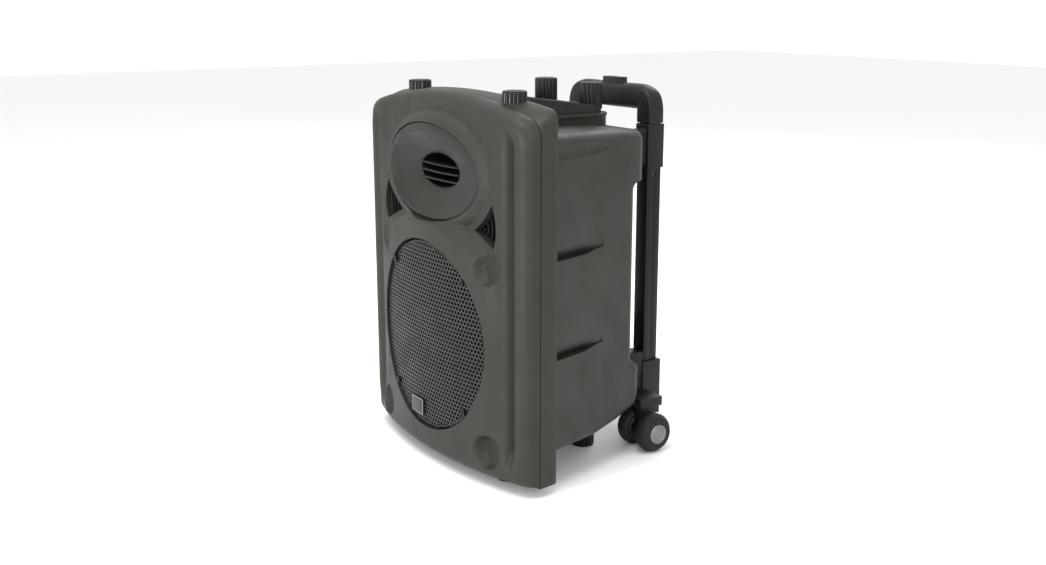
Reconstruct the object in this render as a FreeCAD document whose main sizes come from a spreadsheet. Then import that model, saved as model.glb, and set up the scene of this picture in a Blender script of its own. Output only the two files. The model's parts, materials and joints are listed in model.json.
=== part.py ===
import FreeCAD, Part
import math
import os
import Sketcher
from FreeCAD import Placement, Rotation, Vector

# A portable party speaker on a trolley. The model is drawn with X across the
# cabinet, Y from front to back and Z up. While drawing, Y is zero at the rear
# face of the front rim. Every finished piece is then shifted by datum_y, so
# that the origin ends under the middle of the footprint, on the floor.

doc = FreeCAD.newDocument("party_speaker")
sheet = doc.addObject("Spreadsheet::Sheet", "Sheet")

DIMENSIONS = [
    ("datum_y", 93, "rim's rear face to the middle of the footprint"),
    ("frame_half", 212, "half width of the front frame at the seam"),
    ("rim_half", 207, "half width of the rim at its rear face"),
    ("frame_bottom", 14, "height of the front frame's lower edge"),
    ("frame_peak", 533, "height of the top arch in the middle"),
    ("arch_radius", 780, "radius of the front frame's top arch"),
    ("rim_arch_radius", 1500, "radius of the arch at the rim's rear face"),
    ("corner_radius", 28, "upper corners of the front frame"),
    ("rim_corner_radius", 15, "upper corners of the rim's rear face"),
    ("seam_y", -31, "joint between the front baffle and the rim"),
    ("seam_gap", 0.6, "half thickness of the gasket in the joint"),
    ("front_y", -86, "most forward point of the bowed front"),
    ("bow_radius", 645, "radius of the bowed front, seen from above"),
    ("wall", 4, "moulded wall thickness"),
    ("column_radius", 19, "half-round column at each side of the front"),
    ("column_x", 193, "centre of that column"),
    ("column_y", -37, "centre of that column"),
    ("main_half", 171, "half width of the main front face"),
    ("horn_z", 423, "centre height of the horn"),
    ("horn_half_width", 121, "horn lip, half width"),
    ("horn_half_height", 67.5, "horn lip, half height"),
    ("hood_half_width", 138, "raised hood around the horn, half width"),
    ("hood_half_height", 85.5, "raised hood around the horn, half height"),
    ("hood_y", -77.5, "most forward point of the hood around the horn"),
    ("hood_radius", 900, "bow of the hood"),
    ("level_y", -60.5, "lower level of the front, above and beside the woofer's bulge"),
    ("bulge_radius", 180, "bulge around the woofer, seen from the front"),
    ("bulge_half", 152, "half width of the bulge"),
    ("dimple_radius", 22, "round recess over each front screw"),
    ("dimple_floor", -56.5, "floor of those recesses"),
    ("grille_z", 190, "centre height of the woofer"),
    ("grille_radius", 138, "round opening for the woofer grille"),
    ("seat_y", -58, "flat seat that carries the woofer"),
    ("woofer_hole", 116, "radius of the woofer's cut-out"),
    ("woofer_flange", 126, "radius of the woofer's frame"),
    ("side_screw_x", 140, "baffle screws, distance from the middle"),
    ("body_half", 200, "half width of the rear body behind the rim"),
    ("body_rear_half", 148, "half width of the rear body at its back"),
    ("body_depth", 196, "rim's rear face to the back of the body"),
    ("body_top", 485, "height of the rear body's top"),
    ("body_bottom", 52, "height of the rear body's floor"),
    ("recess_y", 180, "rear recess between the trolley brackets"),
    ("gill_upper", 332, "height of the upper side scoop"),
    ("gill_lower", 196, "height of the lower side scoop"),
    ("tray_half", 72, "top tray, half width"),
    ("tray_rear", 185, "top tray, rear end"),
    ("tray_front_height", 529.6, "tray rim height at the rear face of the frame"),
    ("tray_fall", 0.135, "fall of the tray rim, per unit of length"),
    ("collar_top", 496, "top of the collar around the tray"),
    ("foot_radius", 17, "stacking feet"),
    ("foot_top", 539, "height of the stacking feet"),
    ("front_foot_x", 125, "front stacking feet, distance from the middle"),
    ("front_foot_y", -13, "front stacking feet"),
    ("rear_foot_x", 55.5, "rear stacking feet, distance from the middle"),
    ("rear_foot_y", 165, "rear stacking feet"),
    ("base_foot_x", 75, "rear base feet, distance from the middle"),
    ("base_foot_y", 143, "rear base feet"),
    ("tube_x", 84, "trolley tubes, distance from the middle"),
    ("tube_y", 253, "trolley tubes"),
    ("tube_width", 24, "outer tube across"),
    ("tube_depth", 25, "outer tube front to back"),
    ("tube_wall", 1.5, "wall of both tubes"),
    ("slide_gap", 0.3, "clearance between moving pieces"),
    ("clamp_low", 413, "lower end of the upper clamps"),
    ("clamp_high", 477, "upper end of the upper clamps"),
    ("socket_high", 118, "upper end of the lower sockets"),
    ("grip_low", 496, "underside of the grip bar"),
    ("grip_high", 533, "top of the grip bar"),
    ("grip_depth", 29, "grip bar front to back"),
    ("grip_half", 99.5, "half length of the grip"),
    ("button_high", 540.5, "top of the release button"),
    ("pin_z", 75, "height of the lock pins with the handle stowed"),
    ("detent_z", 402, "height of the detent holes"),
    ("wheel_radius", 29, "trolley wheel"),
    ("wheel_y", 211, "wheel axle"),
    ("wheel_width", 24, "trolley wheel"),
    ("stem_x", 136, "wheel stem, distance from the middle"),
    ("wheel_spread", 21, "stem to the middle of each twin wheel"),
    ("axle_radius", 4, "wheel axle"),
    ("panel_half", 62, "amplifier panel, half width"),
    ("panel_low", 146, "amplifier panel, lower edge"),
    ("panel_high", 396, "amplifier panel, upper edge"),
    ("knob_radius", 8.5, "panel knobs"),
    ("knob_pitch", 27, "distance between panel knobs"),
    ("knob_z", 365, "height of the panel knobs"),
]

nodes = []


def fill_sheet():
    """Write every driving dimension to the sheet, one row each."""
    for row, (alias, size, meaning) in enumerate(DIMENSIONS, start=1):
        sheet.set(f"A{row}", meaning)
        sheet.set(f"B{row}", str(size))
        sheet.setAlias(f"B{row}", alias)
    doc.recompute()


class Sizes:
    """Read a driving dimension from the sheet by its alias."""

    def __getattr__(self, alias):
        return float(sheet.get(alias))


size = Sizes()
fill_sheet()


# ---------------------------------------------------------------- helpers


def value(expression):
    """Work out an expression on the sheet's cells."""
    return float(sheet.evalExpression(expression))


def place(obj, x="0", y="0", z="0", rotation=None):
    """Bind an object's position to expressions."""
    obj.Placement = Placement(Vector(), rotation or Rotation())
    for axis, expression in zip("xyz", (x, y, z)):
        obj.setExpression(f".Placement.Base.{axis}", expression)


def box(name, sides, corner):
    """A block with bound sides and a bound lowest corner."""
    block = doc.addObject("Part::Box", name)
    for prop, expression in zip(("Length", "Width", "Height"), sides):
        block.setExpression(prop, expression)
    place(block, *corner)
    return block


TURN = {
    "X": Rotation(Vector(0, 1, 0), 90),
    "Y": Rotation(Vector(1, 0, 0), -90),
    "Z": Rotation(),
}


def rod(name, radius, length, base, axis="Z"):
    """A cylinder with bound sizes that starts at base and runs along axis."""
    cylinder = doc.addObject("Part::Cylinder", name)
    cylinder.setExpression("Radius", radius)
    cylinder.setExpression("Height", length)
    place(cylinder, *base, rotation=TURN[axis])
    return cylinder


def join(name, parts):
    """One solid from several."""
    fused = doc.addObject("Part::MultiFuse", name)
    fused.Shapes = parts
    return fused


def group(name, parts):
    """Several separate solids in one object."""
    compound = doc.addObject("Part::Compound", name)
    compound.Links = parts
    return compound


def cut(name, base, tools):
    """The base with every tool taken out of it."""
    result = doc.addObject("Part::Cut", name)
    result.Base = base
    result.Tool = tools[0] if len(tools) == 1 else group(name + "_tools", tools)
    return result


def mirrored(name, source):
    """The same piece on the other side of the cabinet."""
    mirror = doc.addObject("Part::Mirroring", name)
    mirror.Source = source
    mirror.Normal = Vector(1, 0, 0)
    return mirror


def pair(name, source):
    """A piece and its mirror image, as two solids."""
    return group(name, [source, mirrored(name + "_mirror", source)])


def publish(obj, name):
    """Name a finished sub-part and shift it to the object's own frame."""
    if obj.isDerivedFrom("Part::Primitive"):
        obj = group(obj.Name + "_placed", [obj])
    obj.Label = name
    place(obj, y="-Sheet.datum_y")
    nodes.append(obj)
    return obj


def feature(name, shape):
    """A sub-part whose shape no other tool here can draw."""
    obj = doc.addObject("Part::Feature", name)
    obj.Shape = shape
    obj.Label = name
    place(obj, y="-Sheet.datum_y")
    nodes.append(obj)
    return obj


def body(name):
    return doc.addObject("PartDesign::Body", name)


def publish_body(part, name, x="0", y="0", z="0"):
    """Name a finished body and set it in its place."""
    part.Label = name
    place(part, x, f"{y} - Sheet.datum_y", z)
    nodes.append(part)
    return part


def sketch_on(part, role, name):
    """An empty sketch on one of the body's own base planes."""
    sketch = part.newObject("Sketcher::SketchObject", name)
    plane = next(item for item in part.Origin.OriginFeatures if item.Role == role)
    sketch.AttachmentSupport = [(plane, "")]
    sketch.MapMode = "FlatFace"
    return sketch


def pin_point(sketch, geometry, spot, x, y):
    """Fix a point of the sketch at bound distances from its origin."""
    for kind, expression in (("DistanceX", x), ("DistanceY", y)):
        constraint = Sketcher.Constraint(kind, -1, 1, geometry, spot, value(expression))
        index = sketch.addConstraint(constraint)
        sketch.setExpression(f"Constraints[{index}]", expression)


def polygon(sketch, points):
    """A closed outline whose corners are bound to expressions."""
    spots = [Vector(value(x), value(y), 0) for x, y in points]
    lines = []
    for start, end in zip(spots, spots[1:] + spots[:1]):
        lines.append(sketch.addGeometry(Part.LineSegment(start, end), False))
    for line, following in zip(lines, lines[1:] + lines[:1]):
        sketch.addConstraint(Sketcher.Constraint("Coincident", line, 2, following, 1))
    for line, (x, y) in zip(lines, points):
        pin_point(sketch, line, 1, x, y)


def circle(sketch, radius, x="0", y="0"):
    """A circle with a bound radius and centre."""
    centre = Vector(value(x), value(y), 0)
    ring = Part.Circle(centre, Vector(0, 0, 1), value(radius))
    index = sketch.addGeometry(ring, False)
    pin_point(sketch, index, 3, x, y)
    constraint = sketch.addConstraint(Sketcher.Constraint("Radius", index, value(radius)))
    sketch.setExpression(f"Constraints[{constraint}]", radius)


def pad(part, sketch, length, backwards=False):
    """Give a sketch a bound thickness."""
    solid = part.newObject("PartDesign::Pad", part.Name + "_pad")
    solid.Profile = sketch
    solid.setExpression("Length", length)
    solid.Reversed = backwards
    part.Tip = solid
    return solid


def turned(name, points, role, axis):
    """A body made by turning one outline about a sketch axis."""
    part = body(name)
    sketch = sketch_on(part, role, name + "_outline")
    polygon(sketch, points)
    solid = part.newObject("PartDesign::Revolution", name + "_turn")
    solid.Profile = sketch
    solid.ReferenceAxis = (sketch, [axis])
    solid.Angle = 360
    part.Tip = solid
    return part


def about_y(name, points):
    """Turn an outline of (radius, y) corners about the Y axis."""
    return turned(name, points, "XY_Plane", "V_Axis")


def about_x(name, points):
    """Turn an outline of (x, radius) corners about the X axis."""
    return turned(name, points, "XY_Plane", "H_Axis")


# ------------------------------------------------- shapes of the mouldings


def prism(wire, depth):
    """A closed wire pushed along Y."""
    return Part.Face(wire).extrude(Vector(0, depth, 0))


def frame_outline(half, bottom, peak, arch, corner, y):
    """Front outline: flat foot, straight sides, rounded corners, arched top."""
    centre_z = peak - arch
    corner_x = half - corner
    corner_z = centre_z + math.sqrt((arch - corner) ** 2 - corner_x ** 2)
    angle = math.atan2(corner_z - centre_z, corner_x)
    meet_x = arch * math.cos(angle)
    meet_z = centre_z + arch * math.sin(angle)
    mid_x = corner_x + corner * math.cos(angle / 2)
    mid_z = corner_z + corner * math.sin(angle / 2)
    low_left = Vector(-half, y, bottom)
    low_right = Vector(half, y, bottom)
    right = Vector(half, y, corner_z)
    left = Vector(-half, y, corner_z)
    top_right = Vector(meet_x, y, meet_z)
    top_left = Vector(-meet_x, y, meet_z)
    edges = [
        Part.makeLine(low_left, low_right),
        Part.makeLine(low_right, right),
        Part.Arc(right, Vector(mid_x, y, mid_z), top_right).toShape(),
        Part.Arc(top_right, Vector(0, y, peak), top_left).toShape(),
        Part.Arc(top_left, Vector(-mid_x, y, mid_z), left).toShape(),
        Part.makeLine(left, low_left),
    ]
    return Part.Wire(edges)


def seam_outline(inset, y):
    """The front outline at the joint, made smaller by inset."""
    return frame_outline(
        size.frame_half - inset,
        size.frame_bottom + inset,
        size.frame_peak - inset,
        size.arch_radius - inset,
        size.corner_radius - inset / 2,
        y,
    )


def rim_outline(inset, y):
    """The outline of the rim's rear face, made smaller by inset."""
    return frame_outline(
        size.rim_half - inset,
        size.frame_bottom + inset,
        size.frame_peak - inset,
        size.rim_arch_radius - inset,
        size.rim_corner_radius - inset / 2,
        y,
    )


def bow(front, radius=0):
    """Everything behind a bowed front surface; the woofer's bulge unless a radius is given."""
    radius = radius or size.bow_radius
    base = Vector(0, front + radius, 0)
    return Part.makeCylinder(radius, size.frame_peak * 2, base)


def ellipse_wire(half_x, half_z, y, z):
    """An ellipse that faces the front; the longer half comes first."""
    if half_x >= half_z:
        curve = Part.Ellipse(Vector(half_x, y, z), Vector(0, y, z + half_z), Vector(0, y, z))
        return Part.Wire([curve.toShape()])
    curve = Part.Ellipse(Vector(0, y, z + half_z), Vector(half_x, y, z), Vector(0, y, z))
    return Part.Wire([curve.toShape()])


def front_disc(radius, low, high, z):
    """A round plug along Y between two depths."""
    return Part.makeCylinder(radius, high - low, Vector(0, low, z), Vector(0, 1, 0))


def block(x, y, z):
    """A block between pairs of limits."""
    corner = Vector(x[0], y[0], z[0])
    return Part.makeBox(x[1] - x[0], y[1] - y[0], z[1] - z[0], corner)


def polygon_prism(points, y, depth):
    """A prism along Y from (x, z) corners."""
    corners = [Vector(x, y, z) for x, z in points]
    return prism(Part.makePolygon(corners + corners[:1]), depth)


def bow_depth(x):
    """Depth of the bowed face at a distance from the middle."""
    return size.front_y + x * x / (2 * size.bow_radius)


SCREW_HEIGHTS = (52, 308, 473)
SCREW_HEAD = 3
CLAMP_SCREWS = (430, 460)
SOCKET_SCREWS = (104, 126)
JACKS = (-42, -18, 18, 42)
FRONT = -110
PORT_CORNERS = ((142, 394), (99, 354), (145, 334), (150, 363))


def screw_spots():
    """The six baffle screws."""
    return [(side * size.side_screw_x, z) for side in (-1, 1) for z in SCREW_HEIGHTS]


def scaled(points, inset):
    """A polygon drawn in towards its middle by a distance at the corners."""
    middle_x = sum(x for x, _ in points) / len(points)
    middle_z = sum(z for _, z in points) / len(points)
    result = []
    for x, z in points:
        reach = math.hypot(x - middle_x, z - middle_z)
        keep = (reach - inset) / reach
        result.append((middle_x + (x - middle_x) * keep, middle_z + (z - middle_z) * keep))
    return result


def port_prism(side, inset, front, back):
    """The three-cornered vent beside the horn."""
    corners = [(side * x, z) for x, z in scaled(PORT_CORNERS, inset)]
    return polygon_prism(corners, front, back - front)


def baffle_block(inset):
    """The front moulding's outer form, or its inside when inset."""
    back = size.seam_y - size.seam_gap
    outline = prism(seam_outline(inset, FRONT), back - FRONT)
    top = size.frame_peak * 2
    main_half = size.main_half - inset
    main = block((-main_half, main_half), (size.level_y + inset, back), (0, top))
    edge = block((-size.frame_half, size.frame_half), (size.column_y - 6 + inset, back), (0, top))
    shapes = [bulge(inset), hood(inset), edge]
    for side in (-1, 1):
        centre = Vector(side * size.column_x, size.column_y, 0)
        shapes.append(Part.makeCylinder(size.column_radius - inset, top, centre))
    return main.multiFuse(shapes).common(outline)


def bulge(inset):
    """The bowed surface around and below the woofer."""
    half = size.bulge_half - inset
    back = size.seam_y - size.seam_gap
    upper = front_disc(size.bulge_radius - inset, FRONT, back, size.grille_z)
    lower = block((-half, half), (FRONT, back), (0, size.grille_z))
    sides = block((-half, half), (FRONT, back), (0, size.frame_peak))
    return upper.fuse(lower).common(sides).common(bow(size.front_y + inset))


def hood(inset):
    """The rounded hood that stands proud around the horn."""
    wide = size.hood_half_width - inset
    tall = size.hood_half_height - inset
    level = size.level_y + 2 + inset
    crest = size.hood_y - 1 + inset
    rings = [(wide, tall, level), (wide - 4, tall - 4, level - 11), (wide - 16, tall - 17, crest)]
    form = ellipse_loft(rings)
    return form.common(bow(size.hood_y + inset, size.hood_radius))


def make_front_baffle():
    """Front moulding with horn, vent and woofer openings."""
    back = size.seam_y - size.seam_gap
    outer = baffle_block(0)
    inner = baffle_block(size.wall)
    keep = front_disc(size.grille_radius + size.wall, FRONT, size.seat_y + 8, size.grille_z)
    shell = outer.cut(inner.cut(keep))
    for x, z in screw_spots():
        wall = front_hole(x, z, size.dimple_radius + size.wall, FRONT, size.dimple_floor + size.wall)
        boss = front_hole(x, z, 7, size.dimple_floor, back)
        shell = shell.fuse(wall.common(outer)).fuse(boss)
    shell = shell.cut(front_disc(size.grille_radius, FRONT, size.seat_y, size.grille_z))
    shell = shell.cut(front_disc(size.woofer_hole, FRONT, 0, size.grille_z))
    horn_hole = ellipse_wire(size.horn_half_width + 0.5, size.horn_half_height + 0.5, FRONT, size.horn_z)
    shell = shell.cut(prism(horn_hole, -FRONT))
    for side in (-1, 1):
        shell = shell.cut(port_prism(side, 0, FRONT, 0))
    for x, z in screw_spots():
        shell = shell.cut(front_hole(x, z, size.dimple_radius, FRONT, size.dimple_floor))
        shell = shell.cut(front_hole(x, z, 2.3, FRONT, back))
        shell = shell.cut(front_hole(x, z, 4.6, FRONT, size.dimple_floor + SCREW_HEAD))
    for x, z in grille_screw_spots():
        top = bow_depth(x) + 5.2
        shell = shell.fuse(front_hole(x, z, 3.6, top, size.seat_y))
        shell = shell.cut(front_hole(x, z, 2.15, FRONT, size.seat_y + 9))
    for index in range(8):
        x, z = woofer_screw_spot(index)
        shell = shell.cut(front_hole(x, z, 1.95, FRONT, size.seat_y + 9))
    return feature("front_baffle", shell)


def make_baffle_screws():
    """Six screws that hold the front moulding to the rear body, their heads flush."""
    screws = []
    for x, z in screw_spots():
        top = size.dimple_floor
        seat = top + SCREW_HEAD
        head = front_hole(x, z, 4.4, top, seat)
        shank = front_hole(x, z, 2.1, seat, -12)
        slot = block((x - 2.4, x + 2.4), (top - 1, top + 1.4), (z - 0.5, z + 0.5))
        cross = block((x - 0.5, x + 0.5), (top - 1, top + 1.4), (z - 2.4, z + 2.4))
        screws.append(head.fuse(shank).cut(slot.fuse(cross)))
    feature("baffle_screws", Part.makeCompound(screws))


def make_gasket():
    """Foam strip in the joint between the front moulding and the rim."""
    front = size.seam_y - size.seam_gap
    depth = 2 * size.seam_gap
    outer = prism(seam_outline(1.2, front), depth)
    inner = prism(seam_outline(size.wall, front), depth)
    feature("seam_gasket", outer.cut(inner))


# ------------------------------------------------------- rear moulding


SIDE_PROFILE = (
    (0, "low"), (90, "low"), (142, 62), (186, 75), (196, 100),
    (196, 135), (180, 137), (180, 404), (196, 406), (196, 462), (188, 477.6), (0, "high"),
)


def taper_half(y):
    """Half width of the tapering rear body at a depth."""
    share = y / size.body_depth
    return size.body_half + (size.body_rear_half - size.body_half) * share


def body_form(inset):
    """The rear body behind the rim, or its inside when inset."""
    named = {"low": size.body_bottom, "high": size.body_top}
    corners = [Vector(0, y, named.get(z, z)) for y, z in SIDE_PROFILE]
    face = Part.Face(Part.makePolygon(corners + corners[:1]))
    if inset:
        face = face.makeOffset2D(-inset, join=2)
    profile = face.extrude(Vector(size.body_half, 0, 0))
    profile = profile.fuse(face.extrude(Vector(-size.body_half, 0, 0)))
    back = size.body_depth + 10
    front = -10
    plan = [
        Vector(-taper_half(front) + inset, front, 0),
        Vector(taper_half(front) - inset, front, 0),
        Vector(taper_half(back) - inset, back, 0),
        Vector(-taper_half(back) + inset, back, 0),
    ]
    wedge = Part.Face(Part.makePolygon(plan + plan[:1])).extrude(Vector(0, 0, size.frame_peak))
    return profile.common(wedge)


def plan_prism(half, front, back, corner, low, high):
    """A block with rounded upright edges."""
    solid = block((-half, half), (front, back), (low, high))
    upright = [edge for edge in solid.Edges if abs(edge.tangentAt(0).z) > 0.9]
    return solid.makeFillet(corner, upright)


def rim_form(inset, back):
    """The rim between the joint and the rear body."""
    front = size.seam_y + size.seam_gap
    return Part.makeLoft([seam_outline(inset, front), rim_outline(inset, back)], True, True)


def gill_tool(side, z, extra):
    """A hand-sized scoop that fades out along the side."""
    start = 6
    length = 92 + extra
    base = Vector(side * (taper_half(start) + 1), start, z)
    lean = side * (size.body_rear_half - size.body_half) / size.body_depth
    direction = Vector(lean, 1, 0)
    return Part.makeCone(12 + extra, 1, length, base, direction)


def collar_form(inset):
    """Raised collar that carries the top tray."""
    half = 81 - inset
    return plan_prism(half, -4, 193 - inset, 34 - inset, size.body_top - 20, size.collar_top - inset)


def make_rear_cabinet():
    """Rim, tapering body and tray collar in one hollow moulding."""
    outer = rim_form(0, 0).fuse(body_form(0)).fuse(collar_form(0))
    rim_inside = rim_form(size.wall, -size.wall)
    body_inside = body_form(size.wall)
    mouth = block((-size.body_half + size.wall, size.body_half - size.wall), (-9, 6),
                  (size.body_bottom + size.wall, size.body_top - size.wall))
    inside = rim_inside.fuse(body_inside).fuse(mouth).fuse(collar_form(size.wall))
    for side in (-1, 1):
        for z in (size.gill_lower, size.gill_upper):
            inside = inside.cut(gill_tool(side, z, size.wall))
            outer = outer.cut(gill_tool(side, z, 0))
    shell = outer.cut(inside)
    opening = block((-size.panel_half + 6, size.panel_half - 6), (150, 190),
                    (size.panel_low + 6, size.panel_high - 6))
    shell = shell.cut(opening)
    for x, z in panel_screw_spots():
        shell = shell.cut(front_hole(x, z, 1.6, 170, 190))
    for side in (-1, 1):
        for z in CLAMP_SCREWS + SOCKET_SCREWS:
            shell = shell.cut(front_hole(side * size.tube_x, z, 2.2, 170, 210))
        for z in SCREW_HEIGHTS:
            x = side * size.side_screw_x
            shell = shell.fuse(screw_post(x, z)).cut(front_hole(x, z, 2.15, -40, -8))
    feature("rear_cabinet", shell.removeSplitter())


def front_hole(x, z, radius, low, high):
    """A round hole along Y."""
    return Part.makeCylinder(radius, high - low, Vector(x, low, z), Vector(0, 1, 0))


def screw_post(x, z):
    """Ribbed post behind the joint that a baffle screw bites into."""
    front = size.seam_y + size.seam_gap
    post = front_hole(x, z, 6, front, -2)
    side = math.copysign(1, x)
    rib = block(sorted((x, side * (size.rim_half - 2))), (-26, -2), (z - 2, z + 2))
    return post.fuse(rib)


def panel_screw_spots():
    """Screws round the edge of the amplifier panel."""
    reach = size.panel_half - 3
    low = size.panel_low + 3
    high = size.panel_high - 3
    return [(side * reach, z) for side in (-1, 1) for z in (low, (low + high) / 2, high)]


# ------------------------------------------------------------- horn


def ellipse_loft(sections):
    """A ruled loft through (half x, half z, y) ellipses."""
    wires = [ellipse_wire(half_x, half_z, y, size.horn_z) for half_x, half_z, y in sections]
    return Part.makeLoft(wires, True, True)


def horn_inside():
    """The flare from the lip, through the mouth of the throat, to the driver."""
    dish = ellipse_loft([(115, 75, -92), (113, 46, -71), (50, 24, -55)])
    throat = ellipse_loft([(50, 24, -55), (22.5, 22, 1)])
    return dish.fuse(throat)


def make_horn():
    """Elliptical wave guide with its lip following the bowed front."""
    lip = prism(ellipse_wire(size.horn_half_width, size.horn_half_height, FRONT, size.horn_z), 46)
    cone = ellipse_loft([(size.horn_half_width, size.horn_half_height, -64), (56, 30, -50), (30, 29, 0)])
    flange = front_disc(46, -5, 0, size.horn_z)
    outer = lip.fuse(cone).fuse(flange)
    shell = outer.cut(horn_inside()).common(bow(size.hood_y + 1, size.hood_radius))
    feature("horn_waveguide", shell.multiFuse(vanes()).removeSplitter())


def vanes():
    """Three thin bars moulded across the mouth of the throat."""
    inside = horn_inside()
    bars = []
    for z in (410, 421, 431):
        bar = block((-60, 60), (-60, -44), (z - 1, z + 1))
        bars.append(bar.common(inside).common(bow(-60)))
    return bars


def louvre(side):
    """Three-cornered vent insert with upright slats."""
    front = size.level_y + 8
    back = size.level_y + 16
    frame = port_prism(side, 0, front, back).cut(port_prism(side, 5, front - 1, back + 1))
    inside = port_prism(side, 4.9, front + 1, back)
    slats = []
    for x in (113, 122, 131, 139):
        slats.append(block(sorted((side * x - 1, side * x + 1)), (front, back), (330, 400)).common(inside))
    return frame.multiFuse(slats).removeSplitter()


# ----------------------------------------------------------- woofer


GRILLE_SCREW_REACH = 93


def grille_screw_spots():
    """Four screws on the grille's diagonals."""
    reach = GRILLE_SCREW_REACH
    return [(sx * reach, size.grille_z + sz * reach) for sx in (-1, 1) for sz in (-1, 1)]


def grille_skin(gap, thickness):
    """A sheet that follows the bow, gap behind the front surface."""
    front = size.front_y + gap
    return bow(front).cut(bow(front + thickness))


def make_grille():
    """Bowed steel grille with a turned-back edge."""
    radius = size.grille_radius - 1.5
    skin = front_disc(radius, FRONT, 0, size.grille_z).common(grille_skin(3, 1.2))
    ring = front_disc(radius, FRONT, size.seat_y, size.grille_z)
    ring = ring.cut(front_disc(radius - 1.2, FRONT, 0, size.grille_z)).common(bow(size.front_y + 3))
    grille = skin.fuse(ring)
    for x, z in grille_screw_spots():
        grille = grille.cut(front_hole(x, z, 2.6, FRONT, 0))
    feature("woofer_grille", grille.removeSplitter())


def make_grille_screws():
    """Four pan-head screws through the grille."""
    screws = []
    for x, z in grille_screw_spots():
        seat = bow_depth(x) + 3 - 0.6
        head = front_hole(x, z, 4.6, seat - 2.4, seat)
        shank = front_hole(x, z, 2.1, seat, size.seat_y + 8)
        cross = block((x - 2.6, x + 2.6), (seat - 3, seat - 1.2), (z - 0.5, z + 0.5))
        upright = block((x - 0.5, x + 0.5), (seat - 3, seat - 1.2), (z - 2.6, z + 2.6))
        screws.append(head.fuse(shank).cut(cross.fuse(upright)))
    feature("grille_screws", Part.makeCompound(screws))


def make_badge():
    """Blank plate on the lower part of the grille."""
    plate = block((-41, -7), (FRONT, 0), (65.5, 90.5))
    feature("badge_plate", plate.common(grille_skin(0.8, 2.2)))


def woofer_body(name, points, y="0"):
    """A round woofer part, turned about the driver's axis."""
    part = about_y(name + "_turned", points)
    return publish_body(part, name, "0", y, "Sheet.grille_z")


def make_woofer():
    """Everything of the woofer except its basket's windows and its screws."""
    woofer_body("woofer_magnet", [
        ("0", "0"), ("25", "0"), ("25", "30"), ("34", "30"), ("34", "8"), ("27.4", "8"), ("27.4", "0"),
        ("56", "0"), ("56", "8"), ("60", "8"), ("60", "30"), ("56", "30"), ("56", "36"), ("0", "36"),
    ])
    woofer_body("woofer_voice_coil", [
        ("25.4", "0"), ("26.4", "0"), ("26.4", "42"), ("25.4", "42"),
    ], "-25.6")
    woofer_body("woofer_cone", [
        ("26.4", "0"), ("95", "-38"), ("98", "-38"), ("98", "-36.6"), ("95.4", "-36.6"), ("26.4", "1.6"),
    ], "-22")
    dome = doc.addObject("Part::Sphere", "dome")
    dome.setExpression("Radius", "35")
    place(dome, "0", "-4", "Sheet.grille_z")
    hollow = doc.addObject("Part::Sphere", "dome_hollow")
    hollow.setExpression("Radius", "34.2")
    place(hollow, "0", "-4", "Sheet.grille_z")
    rear = rod("dome_rear", "40", "60", ("0", "-25", "Sheet.grille_z"), "Y")
    publish(cut("dust_cap", dome, [hollow, rear]), "woofer_dust_cap")


def make_surround():
    """Rubber half roll between the cone and the basket."""
    centre = Vector(0, -61, size.grille_z)
    axis = Vector(0, 1, 0)
    roll = Part.makeTorus(105.2, 6.4, centre, axis).cut(Part.makeTorus(105.2, 5.2, centre, axis))
    roll = roll.common(front_disc(115, -75, -61, size.grille_z))
    lip = front_disc(116.4, -62.2, -61, size.grille_z).cut(front_disc(110.6, -63, -60, size.grille_z))
    feature("woofer_surround", roll.fuse(lip).removeSplitter())


def make_basket():
    """Pressed frame of the woofer with six windows."""
    turned_frame = about_y("basket_turned", [
        ("111", "0"), ("Sheet.woofer_flange", "0"), ("Sheet.woofer_flange", "3"), ("115", "3"),
        ("64", "52"), ("64", "61"), ("30", "61"), ("30", "59"), ("61", "59"), ("61", "51"), ("111", "2"),
    ])
    place(turned_frame, "0", "-61", "Sheet.grille_z")
    windows = []
    for index in range(6):
        window = doc.addObject("Part::Box", f"window_{index}")
        window.setExpression("Length", "36")
        window.setExpression("Width", "44")
        window.setExpression("Height", "90")
        turn = Rotation(Vector(0, 1, 0), 60 * index)
        offset = turn.multVec(Vector(-18, 0, 40))
        place(window, str(offset.x), "-54", f"Sheet.grille_z + {offset.z}", turn)
        windows.append(window)
    for index in range(8):
        x, z = woofer_screw_spot(index)
        windows.append(rod(f"basket_hole_{index}", "1.95", "10", (str(x), "-65", str(z)), "Y"))
    publish(cut("basket", turned_frame, windows), "woofer_basket")


def woofer_screw_spot(index):
    """Place of one of the eight screws round the woofer's frame."""
    angle = math.radians(22.5 + 45 * index)
    return 121 * math.cos(angle), size.grille_z + 121 * math.sin(angle)


def make_woofer_screws():
    """Eight screws round the woofer's frame."""
    screws = []
    for index in range(8):
        x, z = woofer_screw_spot(index)
        screws.append(front_hole(x, z, 3.6, -63.4, -61).fuse(front_hole(x, z, 1.9, -61, -50)))
    feature("woofer_screws", Part.makeCompound(screws))


def make_compression_driver():
    """High-frequency driver on the throat of the horn."""
    part = about_y("driver_turned", [
        ("22.5", "0"), ("46", "0"), ("46", "6"), ("40", "6"), ("40", "12"), ("45", "12"), ("45", "44"),
        ("42", "50"), ("0", "50"), ("0", "18"), ("22.5", "10"),
    ])
    publish_body(part, "compression_driver", "0", "0", "Sheet.horn_z")


# ------------------------------------------------------- feet and tray


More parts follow.
